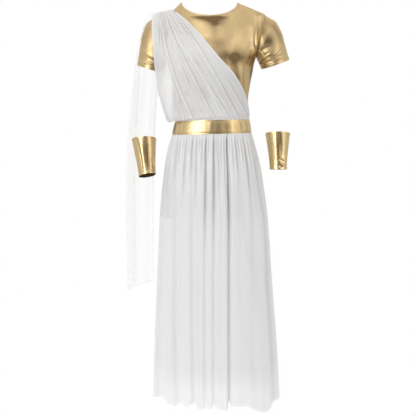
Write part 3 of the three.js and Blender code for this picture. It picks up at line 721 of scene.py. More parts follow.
def sleeve(side, outer, inner, depth, dip):
    """Points of a sleeve, its brown places, and how far down it each point is."""
    u, along = grid_parts(SLEEVE_COLUMNS, SLEEVE_ROWS)
    turn = 2 * np.pi * u
    inset = 1 - 1.5 / ARMHOLE_REACH
    level = ARMHOLE_MIDDLE + ARMHOLE_REACH * np.cos(turn)
    hole = np.stack([
        form_half(level) + 0.5,
        -ARMHOLE_DEPTH * np.sin(turn) * inset,
        ARMHOLE_MIDDLE + (level - ARMHOLE_MIDDLE) * inset,
    ], axis=-1)
    half_x, half_z = (outer[0] - inner[0]) / 2, (outer[1] - inner[1]) / 2
    hem = np.stack([
        (outer[0] + inner[0]) / 2 + half_x * np.cos(turn),
        -depth * np.sin(turn),
        (outer[1] + inner[1]) / 2 + half_z * np.cos(turn) - dip * np.clip(np.sin(turn), 0, None),
    ], axis=-1)
    fall = np.array([outer[0] - SHOULDER_HALF, outer[1] - SHOULDER_POINT], dtype=float)
    fall /= np.linalg.norm(fall)
    points = mix(hole, hem, along[..., None])
    crown = smooth(SLEEVE_CAP)(along) * np.clip(np.cos(turn), 0, None)
    points[..., 0] -= crown * fall[1]
    points[..., 2] += crown * fall[0]
    points[..., 1] -= 7 * np.sin(np.pi * along) * np.sin(turn)
    points[..., 0] *= side
    mark = 1 - ease((1 - along) * SLEEVE_LENGTH, SLEEVE_HEM - 1, SLEEVE_HEM + 2)
    angle = (np.degrees(turn) + 180) % 360 - 180
    down = along * SLEEVE_LENGTH
    bumps, brown = (
        round_creases(angle, down, rows, SLEEVE_RADIUS, turns=(-360, 0, 360))
        for rows in (SLEEVE_CREASES, SLEEVE_PAINTED_REFLECTIONS)
    )
    height = FOIL_RISE + HEM_RISE * mark + bumps * ease(along, 0, 0.06) * (1 - 0.6 * mark)
    brown = np.clip(brown, 0, 0.85) * (1 if side > 0 else 0.4)
    if side > 0:
        points, height, brown = points[:, ::-1], height[:, ::-1], brown[:, ::-1]
    return points + outward(points, True) * height[..., None], brown, down


SLEEVE_FLAT = (0.375, 0.165)
for name, node, side, outer, inner, depth, dip in SLEEVES:
    points, brown, down = sleeve(side, outer, inner, depth, dip)
    line = line_at(points, down, SLEEVE_LENGTH - SLEEVE_HEM + 2)
    STITCH_LINES.append((name + "_hem_stitches", line, "gold_jersey"))
    piece = cloth(name, points, SLEEVE_FLAT, closed=True, tarnish=brown)
    sewn(piece, node, gold_jersey)

# %% [markdown]
# The waistband is a strip of the same foil over an elastic, topstitched along both edges. It is a little
# crowned, has a fine sunk line near each edge, and buckles where the elastic pulls it in.

# %% Waistband
BAND_COLUMNS, BAND_ROWS = 220, 24
BAND_RADIUS = 118
BAND_END = 0.07
BAND_CREASES = [
    # bearing, part down, twice, width in mm, height, bow
    (-7, 0.1, -6, 0.95, 8, -0.3, 0.6), (-2.5, 0.05, -3, 0.95, 4, 0.2, -0.5),
    (2, 0.05, 1.5, 0.98, 5, -0.25, 0.5), (7, 0.05, 8, 0.95, 3, 0.3, 0.5), (17, 0.1, 18, 0.9, 7, -0.6, 1),
    (34, 0.1, 33, 0.9, 8, -1.0, 1), (50, 0.1, 52, 0.8, 6, -0.9, 1), (62, 0.2, 60, 0.95, 5, 0.8, -1),
    (76, 0.1, 74, 0.9, 4, -1.0, 1), (-24, 0.1, -22, 0.7, 10, 0.5, 1), (-50, 0.1, -52, 0.95, 6, -0.9, 1),
    (-58, 0.1, -56, 0.8, 5, 0.8, -1), (-72, 0.1, -74, 0.9, 4, -1.1, 1), (-83, 0.3, -82, 0.95, 3, -1.0, 0),
]
# Painted dark reflections on the band: brown streaks across it and darker places at its ends and on its
# right half.
BAND_REFLECTION_BROWNS = [
    # bearing at the upper edge, bearing at the lower edge, width, depth of the brown
    (-74, -73, 11, 1.2), (-85, -85, 8, 0.6), (-57, -56, 3, 0.3), (-4, -3, 2.5, 0.2), (24, 25, 8, 0.5),
    (36, 38, 12, 0.3), (62, 64, 6, 0.35), (-40, -39, 1.6, 0.2), (-1, -1, 1.2, 0.2), (4, 4, 1.2, 0.2),
    (10, 10, 1.4, 0.35), (16, 16, 1.4, 0.3), (1, 1, 3, 0.2), (7, 8, 4, 0.3), (20, 20, 10, 0.2),
    (46, 47, 4, 0.25), (74, 74, 4, 0.25), (-46, -45, 2, 0.25), (12.5, 13, 2, 0.3), (28, 28.5, 2, 0.3),
]
BAND_PAINTED_REFLECTIONS = [(top, 0, low, 1, width, depth, 0) for top, low, width, depth in BAND_REFLECTION_BROWNS]
BAND_PAINTED_REFLECTIONS += [(-90, 0.93, 90, 0.93, 1.2, 0.7, 0), (30, 0.5, 50, 0.5, 26, 0.28, 0)]
BAND_GROOVES = [(0.9, 0.9), (0.07, 0.6)]
GROOVE_WIDTH = 1.6


def waistband(side):
    """Points of a half of the band, and its brown places."""
    u, v = grid_parts(BAND_COLUMNS, BAND_ROWS)
    start = -90 if side < 0 else 90
    bearing = start + BAND_END + u * (180 - 2 * BAND_END)
    x = form_half(WAIST_LEVEL) * np.sin(np.radians(bearing))
    z = mix(waist_seam(x), hip_seam(x), v)
    from_front = bearing if side < 0 else bearing - 180
    bumps, brown = (
        round_creases(from_front, v * BAND_HEIGHT, rows, BAND_RADIUS, BAND_HEIGHT, mirror=-side)
        for rows in (BAND_CREASES, BAND_PAINTED_REFLECTIONS)
    )
    crown = 1.1 * np.sin(np.pi * v) ** 0.6
    sunk = sum(
        depth * np.exp(-(((v - place) * BAND_HEIGHT / GROOVE_WIDTH) ** 2)) for place, depth in BAND_GROOVES
    )
    offset = 2 + crown - sunk + bumps * np.sin(np.pi * v) ** 0.5
    return form_point(bearing, z, offset), np.clip(brown, 0, 1)


BAND_FLAT = (0.375, 0.048)
BANDS = (("gold_band_front", "waistband_front", -1), ("gold_band_back", "waistband_back", 1))
for name, node, side in BANDS:
    points, brown = waistband(side)
    for edge, row in (("upper", 2), ("lower", BAND_ROWS - 2)):
        STITCH_LINES.append((name + "_" + edge + "_stitches", points[row, 1:-1], "gold_band"))
    piece = cloth(name, points, BAND_FLAT, wall=1.6, tarnish=brown)
    sewn(piece, node, gold_band)

# %% [markdown]
# The skirt is two wide rectangles of chiffon drawn up on a thread at the band. Each gather is a narrow
# groove that opens and dies out as it falls, each of its own depth and length, and a few run on as deep
# hanging folds down to the hem. The folds in front are put where the picture has them, and the back gets
# similar ones of its own. The hem dips and rises from fold to fold.

# %% Skirt
SKIRT_GRID = {-1: (340, 130), 1: (300, 100)}
SKIRT_LENGTH, SKIRT_HEM = 965, 7
SKIRT_END = 0.06
FRONT_GATHERS = [
    # bearing at the band, bearing at the hem, width in degrees, depth in mm, how far down it runs
    (-84, -84, 1.6, 3.0, 0.25), (-76, -72, 1.8, 3.4, 0.35), (-67.6, -62, 1.6, 4.2, 0.3),
    (-61, -54, 1.2, 2.6, 0.12), (-55.9, -46, 1.5, 4.4, 0.3), (-48.8, -43, 1.4, 3.8, 0.16),
    (-42.5, -37, 1.2, 2.8, 0.12), (-37.5, -33, 1.5, 4.4, 0.34), (-32.4, -29, 1.1, 2.6, 0.1),
    (-27.6, -25, 1.4, 4.4, 0.22), (-21.6, -18, 1.4, 4.0, 0.4), (-17.0, -15, 1.0, 2.6, 0.1),
    (-12.9, -13, 1.3, 3.8, 0.22), (-7.7, -10, 1.3, 5.6, 0.5), (-4.1, -6, 1.0, 3.0, 0.14),
    (-0.4, -4, 1.0, 2.4, 0.08), (3.3, -2, 1.3, 5.8, 0.45), (6.9, 1, 1.0, 3.4, 0.16),
    (9.7, 3, 1.1, 3.6, 0.3), (14.1, 5, 1.1, 3.6, 0.2), (18.2, 9, 1.2, 4.0, 0.28), (22.8, 11, 1.5, 6.4, 0.5),
    (26.4, 17, 1.0, 2.6, 0.1), (30.3, 20, 1.2, 3.2, 0.2), (35.5, 26, 1.4, 4.2, 0.24),
    (39.0, 31, 1.1, 3.4, 0.14), (44.5, 38, 1.2, 3.0, 0.16), (50.6, 42, 1.6, 4.6, 0.3),
    (58, 52, 1.3, 3.0, 0.16), (66.6, 62, 1.6, 4.0, 0.3), (74, 72, 1.4, 3.0, 0.18), (82, 82, 1.6, 3.6, 0.3),
]
FRONT_FOLDS = [
    # bearing at the band, bearing at the hem, width, depth, where it starts, where it ends
    (-74, -74, 4.5, 11, 0.02, 1.4), (-55, -39.5, 3.0, 7, 0.05, 1.4), (-40, -33.5, 2.0, 3, 0.1, 0.9),
    (-27.5, -21.4, 2.4, 7, 0.05, 1.4), (-7.5, -10.6, 1.6, 5.5, 0.0, 1.4), (3.4, -2.6, 1.6, 6.5, 0.0, 1.4),
    (10, 5.5, 1.8, 3, 0.05, 0.8), (23, 11.2, 1.6, 12, 0.0, 1.6), (37, 22, 2.6, 3, 0.1, 0.75),
    (50, 43, 4.5, 6, 0.05, 0.7), (70, 66, 4.6, 12, 0.04, 1.3), (-17, -15.5, 1.6, 3, 0.15, 1.2),
]
BACK_GATHERS = [
    (96, 97, 1.6, 3.4, 0.3), (102, 104, 1.3, 2.8, 0.14), (108, 111, 1.6, 4.2, 0.3),
    (114, 115, 1.2, 2.8, 0.12), (119, 121, 1.5, 4.6, 0.36), (125, 126, 1.2, 3.0, 0.14),
    (130, 131, 1.4, 4.0, 0.24), (135, 137, 1.1, 2.6, 0.1), (140, 143, 1.5, 5.0, 0.42),
    (145, 146, 1.1, 3.0, 0.14), (149, 151, 1.3, 3.8, 0.24), (154, 155, 1.2, 3.2, 0.16),
    (158, 160, 1.4, 5.4, 0.46), (163, 163, 1.1, 3.0, 0.12), (167, 168, 1.3, 3.8, 0.26),
    (172, 172, 1.2, 3.2, 0.14), (176, 177, 1.4, 4.8, 0.4), (181, 181, 1.1, 2.8, 0.12),
    (185, 184, 1.3, 4.0, 0.22), (190, 189, 1.2, 3.2, 0.16), (195, 195, 1.5, 5.2, 0.46),
    (200, 199, 1.1, 2.8, 0.12), (205, 203, 1.3, 4.2, 0.28), (210, 209, 1.2, 3.0, 0.14),
    (215, 214, 1.5, 4.6, 0.36), (221, 219, 1.2, 3.0, 0.14), (226, 224, 1.4, 4.2, 0.26),
    (232, 232, 1.5, 5.0, 0.4), (238, 237, 1.2, 3.0, 0.14), (244, 242, 1.4, 3.8, 0.26),
    (251, 251, 1.6, 4.2, 0.3), (259, 258, 1.3, 3.0, 0.16), (265, 265, 1.4, 3.2, 0.2),
]
BACK_FOLDS = [
    (104, 104, 4.5, 12, 0.03, 1.4), (121, 124, 3.4, 18, 0.03, 1.5), (141, 143, 3.0, 12, 0.05, 1.3),
    (158, 160, 2.8, 20, 0.0, 1.6), (176, 177, 3.0, 13, 0.04, 1.3), (196, 195, 3.0, 18, 0.02, 1.5),
    (216, 213, 3.4, 11, 0.08, 1.2), (232, 232, 3.2, 19, 0.02, 1.5), (252, 253, 4.5, 12, 0.04, 1.3),
    (150, 151, 2.0, 5, 0.1, 0.9), (206, 204, 2.2, 5, 0.12, 1.0),
]
SKIRT_CREASES = [
    # soft diagonal drags on the front, x0, z0, x1, z1, width, height, bow
    (112, -560, 138, -900, 16, -6, 6), (138, -880, 182, -1060, 15, -6, -6),
    (150, -560, 176, -760, 14, -5, 4), (176, -760, 196, -960, 13, 4, 4), (90, -980, 120, -1280, 20, 4, 6),
    (132, -1150, 168, -1380, 18, -5, -4), (-150, -560, -166, -820, 14, 4, 4),
    (-128, -700, -150, -1000, 16, -4, 5), (30, -700, 44, -1000, 14, 3, 4),
]
HEM = [
    # bearing, level
    (-90, -1431), (-75, -1425), (-58, -1411), (-52, -1425), (-46, -1436), (-41, -1436), (-37.7, -1424),
    (-33.3, -1424), (-28, -1436), (-24, -1427), (-20.9, -1415), (-17.2, -1436), (-11.7, -1439),
    (-10.3, -1424), (-8.8, -1436), (-5.2, -1436), (-2.6, -1422), (1.9, -1439), (9.1, -1443), (11.1, -1406),
    (12.8, -1428), (27.2, -1432), (40.2, -1455), (52, -1462), (58, -1447), (72, -1432), (90, -1434),
    (104, -1426), (112, -1440), (121, -1426), (127, -1440), (141, -1426), (148, -1440), (159, -1420),
    (166, -1440), (177, -1426), (186, -1440), (195, -1421), (203, -1439), (214, -1427), (222, -1441),
    (232, -1422), (241, -1440), (253, -1427), (262, -1436), (270, -1431),
]
SKIRT_OUT = 2.6


def drawn_up(bearing, share, gathers, folds):
    """How far the gathers and folds sink below the form, in mm."""
    sunk = np.zeros_like(bearing)
    for top, low, width, depth, reach in gathers:
        place = top + (low - top) * share**0.5
        wide = width * (1 + 2.2 * share)
        fade = mix(0.35, 1, ease(share, 0, 0.035)) * (1 - ease(share, reach * 0.35, reach))
        sunk += 1.6 * depth * fade * np.exp(-(((bearing - place) / wide) ** 2))
    for top, low, width, depth, start, end in folds:
        place = top + (low - top) * share**0.5
        wide = width * (0.55 + 0.45 * ease(share, 0, 0.4))
        fade = ease(share, start, start + 0.45) * (1 - ease(share, end - 0.5, end))
        fade = (0.25 + 0.75 * fade) * ease(share, 0, 0.03)
        sunk += depth * fade * np.exp(-(((bearing - place) / wide) ** 2))
    return sunk


def skirt_panel(side):
    """Points of a half of the skirt, its marks, and a measure that grows down to 0 at the edge, in mm."""
    u, v = grid_parts(*SKIRT_GRID[side])
    share = v**1.25
    bearing = (-90 if side < 0 else 90) + SKIRT_END + u * (180 - 2 * SKIRT_END)
    gathers, folds = (FRONT_GATHERS, FRONT_FOLDS) if side < 0 else (BACK_GATHERS, BACK_FOLDS)
    x = form_half(WAIST_LEVEL) * np.sin(np.radians(bearing))
    level = mix(hip_seam(x) - SEAM_GAP, smooth(HEM)(bearing), share)
    sunk = drawn_up(bearing, share, gathers, folds)
    ridge = 3.4 * ease(share, 0.02, 0.9) + 1.6 * ease(share, 0, 0.04) * (1 - ease(share, 0.1, 0.5))
    flutter = 0.8 * np.sin(np.radians(bearing) * 31 + 3 * share) * ease(share, 0.2, 1)
    points = form_point(bearing, level, SKIRT_OUT + ridge + flutter - sunk)
    if side < 0:
        shift = creases(points[..., 0], level, SKIRT_CREASES)
        points = points + outward(points, False) * shift[..., None]
    to_edge = (1 - share) * SKIRT_LENGTH
    mark = 1 - ease(to_edge, SKIRT_HEM, SKIRT_HEM + 3)
    # Painted shade in the gathers and folds, strongest near the band.
    fold = np.clip(sunk / 7 - 0.12, 0, 1) * mix(0.36, 0.12, ease(share, 0.05, 0.45))
    over_lining = 0.6 * ease(level, SLIP_HEM - 4, SLIP_HEM) * (1 - ease(level, -640, -520))
    over_lining *= (1 - ease(points[..., 0], -158, -128)) * (side < 0)
    closer = 0.55 * ease(share, 0.84, 0.96)
    raised = points + outward(points, False) * (mark * 0.4)[..., None]
    return raised, np.maximum(mark, closer), fold, over_lining, -to_edge


SKIRT_FLAT = (0.86, 0.975)
for name, node, side in (("white_skirt_front", "skirt_front", -1), ("white_skirt_back", "skirt_back", 1)):
    points, mark, fold, thin, above_edge = skirt_panel(side)
    line = line_at(points, above_edge, -SKIRT_HEM)[::2]
    STITCH_LINES.append((name + "_hem_stitches", line, "white_chiffon"))
    piece = cloth(name, points, SKIRT_FLAT, hem=mark, sheer=thin, fold=fold, wall=0.5)
    sewn(piece, node, white_chiffon)

# %% [markdown]
# A short lining is sewn in with the skirt. It is plain and close, and it hangs in a few soft waves, so
# its lower edge shows as a line through the chiffon. It is white cloth coloured grey as painted shade, so
# the skirt looks darker where the lining hangs behind it.

# %% Lining
SLIP_COLUMNS, SLIP_ROWS = 150, 30
SLIP_INSET = [(-448, 1.5), (-471, 1.5), (-500, 7), (-560, 12), (-660, 18), (-770, 22)]


def lining():
    """Points of the lining, and its hem."""
    u, v = grid_parts(SLIP_COLUMNS, SLIP_ROWS)
    bearing = 360 * u
    z = mix(SLIP_TOP, SLIP_HEM, v)
    waves = 1.8 * np.sin(np.radians(bearing) * 9) + 1.2 * np.sin(np.radians(bearing) * 14 + 2)
    points = form_point(bearing, z, waves * ease(v, 0.1, 0.8) - smooth(SLIP_INSET)(z))
    return points, 1 - ease(1 - v, 0.02, 0.035)


SLIP_FLAT = (0.98, 0.322)
points, mark = lining()
piece = cloth("white_slip", points, SLIP_FLAT, closed=True, hem=mark)
sewn(piece, "slip", white_lining)

# %% [markdown]
# The drape is one piece of chiffon laid in pleats on the shoulder, drawn across the chest, and spread again
# into the waist seam. Each pleat lies over the next one, which leaves a thin dark groove with a fine raised
# edge beside it. The pleats fan out from the shoulder, so each has its own line down the front, and the
# loose cloth at the outer edge stands out in two broad folds.

# %% Drape
DRAPE_COLUMNS, DRAPE_ROWS = 250, 172
DRAPE_FOOT = -424
DRAPE_REACH = (215, 150)
OUTER_EDGE = [
    # part down, x, z
    (0, -209, -55), (0.04, -209.5, -67), (0.25, -203, -155), (0.44, -198, -224), (0.58, -191, -279),
    (0.78, -180, -350), (0.9, -166, -399), (0.96, -152, -424), (1, -128, -423),
]
UPPER_EDGE = [
    (0, -137, -28), (0.197, -65, -92), (0.49, 28, -201), (0.684, 89, -272), (0.88, 127, -360),
    (1, 136.5, -419),
]
DRAPE_FALL = [
    (-42, 0), (-46, 19), (-56, 34), (-73, 49), (-100, 63), (-155, 79), (-224, 85), (-279, 80), (-350, 62),
    (-400, 42), (-424, 20),
]
PLEATS = [
    # groove's depth, edge's height, width, swell beside it, its line as x and z
    (2.2, 1.6, 2.2, 0.6, [(-186, -40), (-181, -110), (-178, -180)]),
    (3.0, 3.0, 2.6, 2.2, [(-178, -46), (-158, -144), (-137, -226), (-106, -312), (-56, -424)]),
    (2.4, 2.0, 1.8, 0.4, [(-172, -46), (-163, -100), (-155, -154)]),
    (2.4, 2.0, 1.8, 0.4, [(-166, -44), (-158, -94), (-149, -146)]),
    (3.0, 3.4, 2.6, 2.6, [(-161, -42), (-122, -144), (-79, -230), (-32, -322), (19, -424)]),
    (2.4, 1.6, 2.4, 0.8, [(-151, -40), (-122, -87), (-94, -140)]),
    (3.0, 3.0, 2.6, 2.6, [(-132, -40), (-76, -112), (-22, -196), (38, -298), (102, -424)]),
    (3.0, 2.8, 2.4, 1.4, [(-6, -296), (24, -346), (72, -424)]),
    (2.8, 2.4, 2.4, 1.0, [(58, -280), (94, -344), (134, -424)]),
    (1.0, 2.8, 2.8, 1.4, [(-104, -150), (-51, -227), (-6, -304), (50, -424)]),
    (1.8, 2.0, 2.4, 0.8, [(-146, -236), (-118, -318), (-88, -424)]),
    (1.8, 1.8, 2.4, 0.8, [(-96, -246), (-62, -326), (-20, -424)]),
    (2.0, 1.6, 2.2, 0.4, [(-143, -40), (-108, -84), (-70, -138)]),
    (1.8, 1.6, 2.2, 0.4, [(-179, -60), (-170, -140), (-160, -220)]),
    (1.6, 1.8, 2.2, 0.4, [(-136, -126), (-112, -184), (-84, -244)]),
    (1.8, 1.8, 2.2, 0.4, [(24, -316), (52, -364), (84, -424)]),
    (1.8, 1.6, 2.4, 0.4, [(-155, -44), (-126, -102), (-90, -172)]),
    (1.2, 1.6, 2.6, 0.4, [(-28, -150), (4, -194), (40, -250)]),
    (1.8, 1.8, 2.0, 0.4, [(-138, -42), (-98, -96), (-56, -156)]),
    (1.4, 1.6, 2.4, 0.4, [(-50, -188), (-14, -248), (26, -318)]),
    (1.2, 1.6, 2.6, 0.4, [(-124, -180), (-100, -236), (-70, -304)]),
]
DRAPE_FOLDS = [
    # broad folds of the loose cloth, x0, z0, x1, z1, width, height, bow
    (-158, -236, -178, -318, 9, -3.2, 0), (-148, -246, -134, -420, 11, 7.5, -3),
    (-121, -270, -120, -420, 6, -3.4, 2), (-190, -120, -194, -240, 6, 1.8, 0),
    (-168, -330, -150, -412, 9, -2.2, 3), (-186, -250, -176, -330, 6, 2.4, -2),
    (-60, -240, -20, -330, 12, -1.0, 2), (0, -120, 40, -190, 16, -1.0, 3), (20, -210, 70, -290, 10, 1.2, 3),
    (-80, -70, -40, -130, 9, 1.2, -2), (-30, -170, 0, -220, 8, -1.2, 2),
]
DRAPE_SHADES = [
    # painted shade on the drape, x0, z0, x1, z1, width, share, bow
    (-182, -190, -186, -300, 13, 0.2, 0), (-112, -300, -108, -424, 9, 0.12, 0),
    (-172, -60, -150, -140, 26, 0.1, 0), (-196, -150, -192, -250, 8, 0.14, 0),
    (-20, -230, 30, -330, 30, 0.06, 0), (-164, -200, -160, -236, 11, 0.16, 0),
    (-100, -90, -60, -140, 22, 0.08, 0), (-176, -70, -168, -150, 10, 0.1, 0),
]
THIN_PLACES = [
    # where the gold shows through more, x0, z0, x1, z1, width, share, bow
    (-80, -205, -76, -209, 7, 0.45, 0), (-64, -196, -28, -250, 10, 0.55, 0),
    (-40, -300, -8, -350, 12, 0.5, 0), (-96, -320, -76, -330, 9, 0.3, 0),
    (-72, -370, -40, -412, 14, 0.35, 0), (40, -310, 76, -400, 16, 0.3, 0),
]


def drape_surface(x, z):
    """The drape lies on the chest and hangs free in front of the arm."""
    centre = form_centre(z)
    inner = top_point(np.clip((x - centre) / form_half(z), -1, 1), z, -1)[..., 1]
    fall = smooth(DRAPE_FALL)(z)
    reach = mix(*DRAPE_REACH, ease(-z, 250, -DRAPE_FOOT))
    out = np.clip((centre - x) / reach, 0, 1)
    rounded = shoulder_round(shoulder_line(x) - z)
    free = fall + np.clip(form_front(z) - fall, 0, None) * (1 - out**2.4) ** 0.8 * rounded
    return np.stack([x, np.where(x < centre, np.minimum(-free, inner), inner), z], axis=-1)


def pleat_height(x, z):
    """Height of all pleats, and where they double and take a painted highlight. A pleat is a groove, a
    raised edge on its outer side and a swell behind."""
    total, doubled_and_highlight = np.zeros_like(x), np.zeros_like(x)
    for depth, edge, width, swell, line in PLEATS:
        path = smooth([(level, place) for place, level in line])
        lean = (path(z + 1) - path(z - 1)) / 2
        aside = (x - path(z)) / np.hypot(1, lean)
        high, low = line[0][1], line[-1][1]
        reach = 1 - ease(z, high - 6, high + 6)
        if low > DRAPE_FOOT:
            reach *= ease(z, low - 4, low + 26)
        raised = np.exp(-(((aside + 1.7 * width) / width) ** 2))
        shape = edge * raised - depth * np.exp(-((aside / width) ** 2))
        shape += swell * np.exp(-np.clip(-aside, 0, None) / 11) * ease(-aside, 0, 3 * width)
        total += reach * shape
        doubled_and_highlight = np.maximum(doubled_and_highlight, reach * raised * min(1, edge / 3))
    return total, doubled_and_highlight


def drape_level(place, v):
    """x and z of the drape at a part across and a part down."""
    outer_x, outer_z = smooth(OUTER_EDGE, 1), smooth(OUTER_EDGE, 2)
    upper_x, upper_z = smooth(UPPER_EDGE, 1), smooth(UPPER_EDGE, 2)
    x = mix(outer_x(v), upper_x(v), place)
    start_x, start_z = (mix(*ends, place) for ends in zip(OUTER_EDGE[0][1:], UPPER_EDGE[0][1:]))
    z = mix(outer_z(v), upper_z(v), place) + (shoulder_line(start_x) - start_z) * (1 - ease(v, 0, 0.2))
    return x, np.where(v >= 1, waist_seam(x) + SEAM_GAP, z)


def along_pleats(u, v):
    """Part across for each grid point, so that the grid's columns run along the long pleats."""
    across, down = np.meshgrid(np.linspace(0, 1, 200), v[:, 0])
    x, z = drape_level(across, down)
    lines = [np.zeros(len(v))]
    for *_, line in PLEATS:
        if line[0][1] > -50 and line[-1][1] == DRAPE_FOOT:
            aside = x - smooth([(level, place) for place, level in line])(z)
            lines.append(np.array([np.interp(0, row, across[0]) for row in aside]))
    lines = np.sort(np.stack(lines + [np.ones(len(v))], axis=1), axis=1)
    return np.stack([np.interp(row, lines.mean(axis=0), line) for row, line in zip(u, lines)])


def drape():
    """Points of the drape, and its marks."""
    u, v = grid_parts(DRAPE_COLUMNS, DRAPE_ROWS)
    v = v**1.15
    x, z = drape_level(along_pleats(u, v), v)
    base = drape_surface(x, z)
    seam = ease(v, 0.955, 1)
    inside = ease(np.minimum(u, 1 - u), 0.005, 0.03)
    ripple = (0.3 * np.sin(82 * u + 4 * v) + 0.2 * np.sin(131 * u - 5 * v + 1)) * mix(1, 0.5, v)
    pleats, doubled_and_highlight = pleat_height(x, z)
    height = pleats * mix(0.6, 1, ease(v, 0, 0.2)) + creases(x, z, DRAPE_FOLDS)
    height = mix(6.2, 2.0, seam) + (height * inside + ripple) * (1 - seam)
    width = np.linalg.norm(base[:, -1] - base[:, 0], axis=-1)[:, None]
    mark = 1 - ease(np.minimum(u, 1 - u) * width, 3, 5)
    thin = np.clip(creases(x, z, THIN_PLACES), 0, 1)
    # Painted shade in the pleat grooves, at the listed places, and over the top near the shoulder.
    fold = np.clip(-pleats / 3, 0, 1) * 0.16 + creases(x, z, DRAPE_SHADES)
    fold += 0.14 * (1 - ease(v, 0.08, 0.4))
    # Whiter where the cloth lies double, with painted highlight on the raised pleat edges, less of it near
    # the shoulder, and on the loose cloth at the outer edge.
    doubled_and_highlight = doubled_and_highlight * mix(0.35, 0.9, ease(v, 0.1, 0.45))
    loose = (1 - ease(x, -137, -130)) * ease(x, -190, -146) * (1 - ease(z, -290, -236))
    doubled_and_highlight = np.maximum(doubled_and_highlight, 0.6 * loose)
    return base + outward(base, False) * height[..., None], mark, thin, fold, doubled_and_highlight


DRAPE_FLAT = (0.37, 0.5)
points, mark, thin, fold, doubled_and_highlight = drape()
drape_marks = {"hem": mark, "sheer": thin, "fold": fold, "doubled_and_highlight": doubled_and_highlight}
piece = cloth("white_drape", points, DRAPE_FLAT, wall=0.5, **drape_marks)
sewn(piece, "drape_front", draped_chiffon)

# %% [markdown]
# The cape is the lightest cloth. It is caught at the shoulder seam, falls behind the arm, and ends above
# the knee. Its outer edge folds back on itself, so that strip looks twice as white. Soft vertical waves
# run down it.

# %% Cape
CAPE_COLUMNS, CAPE_TURN, CAPE_ROWS = 90, 24, 120
CAPE_WIDTH, CAPE_LENGTH = 140, 1030
TURN_GAP = 14
CAPE_FALLS = [
    # part down, outer x and z, inner x and z, y, turned width, wave, how closely it follows the shoulder
    (0, -211, -52, -150, -27, 0.28, 6, 0, 1), (0.04, -221, -56, -153, -30, 28, 8, 1, 0.8),
    (0.08, -239, -74, -158, -42, 58, 11, 1.5, 0.3), (0.13, -259, -120, -168, -85, 82, 16, 2.5, 0),
    (0.2, -277, -190, -182, -160, 91, 22, 4, 0), (0.31, -290, -310, -196, -300, 93, 28, 5, 0),
    (0.42, -303, -430, -204, -425, 93, 33, 5, 0), (0.57, -313, -590, -210, -585, 93, 35, 5, 0),
    (0.73, -314, -760, -212, -755, 93, 35, 5, 0), (0.91, -313, -950, -212, -925, 93, 34, 4.5, 0),
    (1, -311, -1054, -212, -1019, 93, 32, 4, 0),
]


def cape():
    """Points of the cape, and where it is hemmed or doubled."""
    u, v = grid_parts(CAPE_COLUMNS + CAPE_TURN, CAPE_ROWS)
    outer_x, outer_z, inner_x, inner_z, y, turned, wave, hug = (
        smooth(CAPE_FALLS, column)(v) for column in range(1, 9)
    )
    split = CAPE_COLUMNS / (CAPE_COLUMNS + CAPE_TURN)
    q = np.clip(u / split, 0, 1)
    turn = np.clip((u - split) / (1 - split), 0, 1)
    ripple = wave * np.sin(5 * np.pi * q + 0.7 * np.sin(5 * v)) * (1 - q**3)
    ripple += 0.3 * wave * np.sin(11 * np.pi * q + 4 * v) * (1 - q)
    x = mix(inner_x, outer_x, q)
    free = mix(inner_z, outer_z, mix(q, q**3, 0.5))
    main_z = mix(free, shoulder_line(x) + 5, hug)
    gap = np.minimum(TURN_GAP, turned / 2)
    turn_x = outer_x + turned * (1 - np.cos(np.pi * turn / 2))
    turn_y = y - gap * np.sin(np.pi * turn / 2)
    turn_z = outer_z + (inner_z - outer_z) * 0.9 * turn
    main = np.stack([x, y + ripple, main_z], axis=-1)
    folded = np.stack([turn_x, turn_y, turn_z], axis=-1)
    points = np.where((u > split)[..., None], folded, main)
    edge = np.minimum(np.minimum(u, 1 - u) * CAPE_WIDTH, (1 - v) * CAPE_LENGTH)
    mark = np.maximum(1 - ease(edge, 4, 9), 0.85 * (u > split))
    return points[:, ::-1], mark[:, ::-1]


CAPE_FLAT = (0.145, 1.03)
points, mark = cape()
piece = cloth("sheer_cape", points, CAPE_FLAT, hem=mark, wall=0.4)
sewn(piece, "cape", sheer_chiffon)

# %% [markdown]
# The cuffs are tapered tubes of the band's foil, stiff enough to stand round the forearm. Both ends are
# turned in by 8 mm, and the foil buckles in short slanting creases.

# %% Cuffs
CUFF_COLUMNS, CUFF_ROWS = 120, 60
CUFF_TAPER = [(0, 1), (0.1, 0.965), (0.35, 0.87), (0.6, 0.78), (0.86, 0.71), (1, 0.69)]
CUFF_TOP_HALF = 43.5
CUFF_LENGTH, CUFF_RADIUS = 135, 36
CUFF_BACK_CREASES = [
    # degrees round from the front, part down, twice, width, height in mm, bow
    (120, 0.2, 150, 0.66, 6, -1.8, -3), (160, 0.4, 190, 0.9, 6, 1.6, 3),
    (-128, 0.15, -100, 0.7, 6, -1.8, 3),
]
RIGHT_CUFF_CREASES = [
    (-34, 0.08, -24, 0.9, 5, -1.4, 2), (-16, 0.05, -12, 0.95, 7, 1.3, -2), (8, 0.1, 12, 0.9, 8, -1.6, -2),
    (24, 0.3, 20, 0.8, 4, -1.0, 2), (40, 0.55, 58, 0.95, 4, -1.6, 2), (60, 0.6, 78, 0.92, 4, 1.4, -2),
]
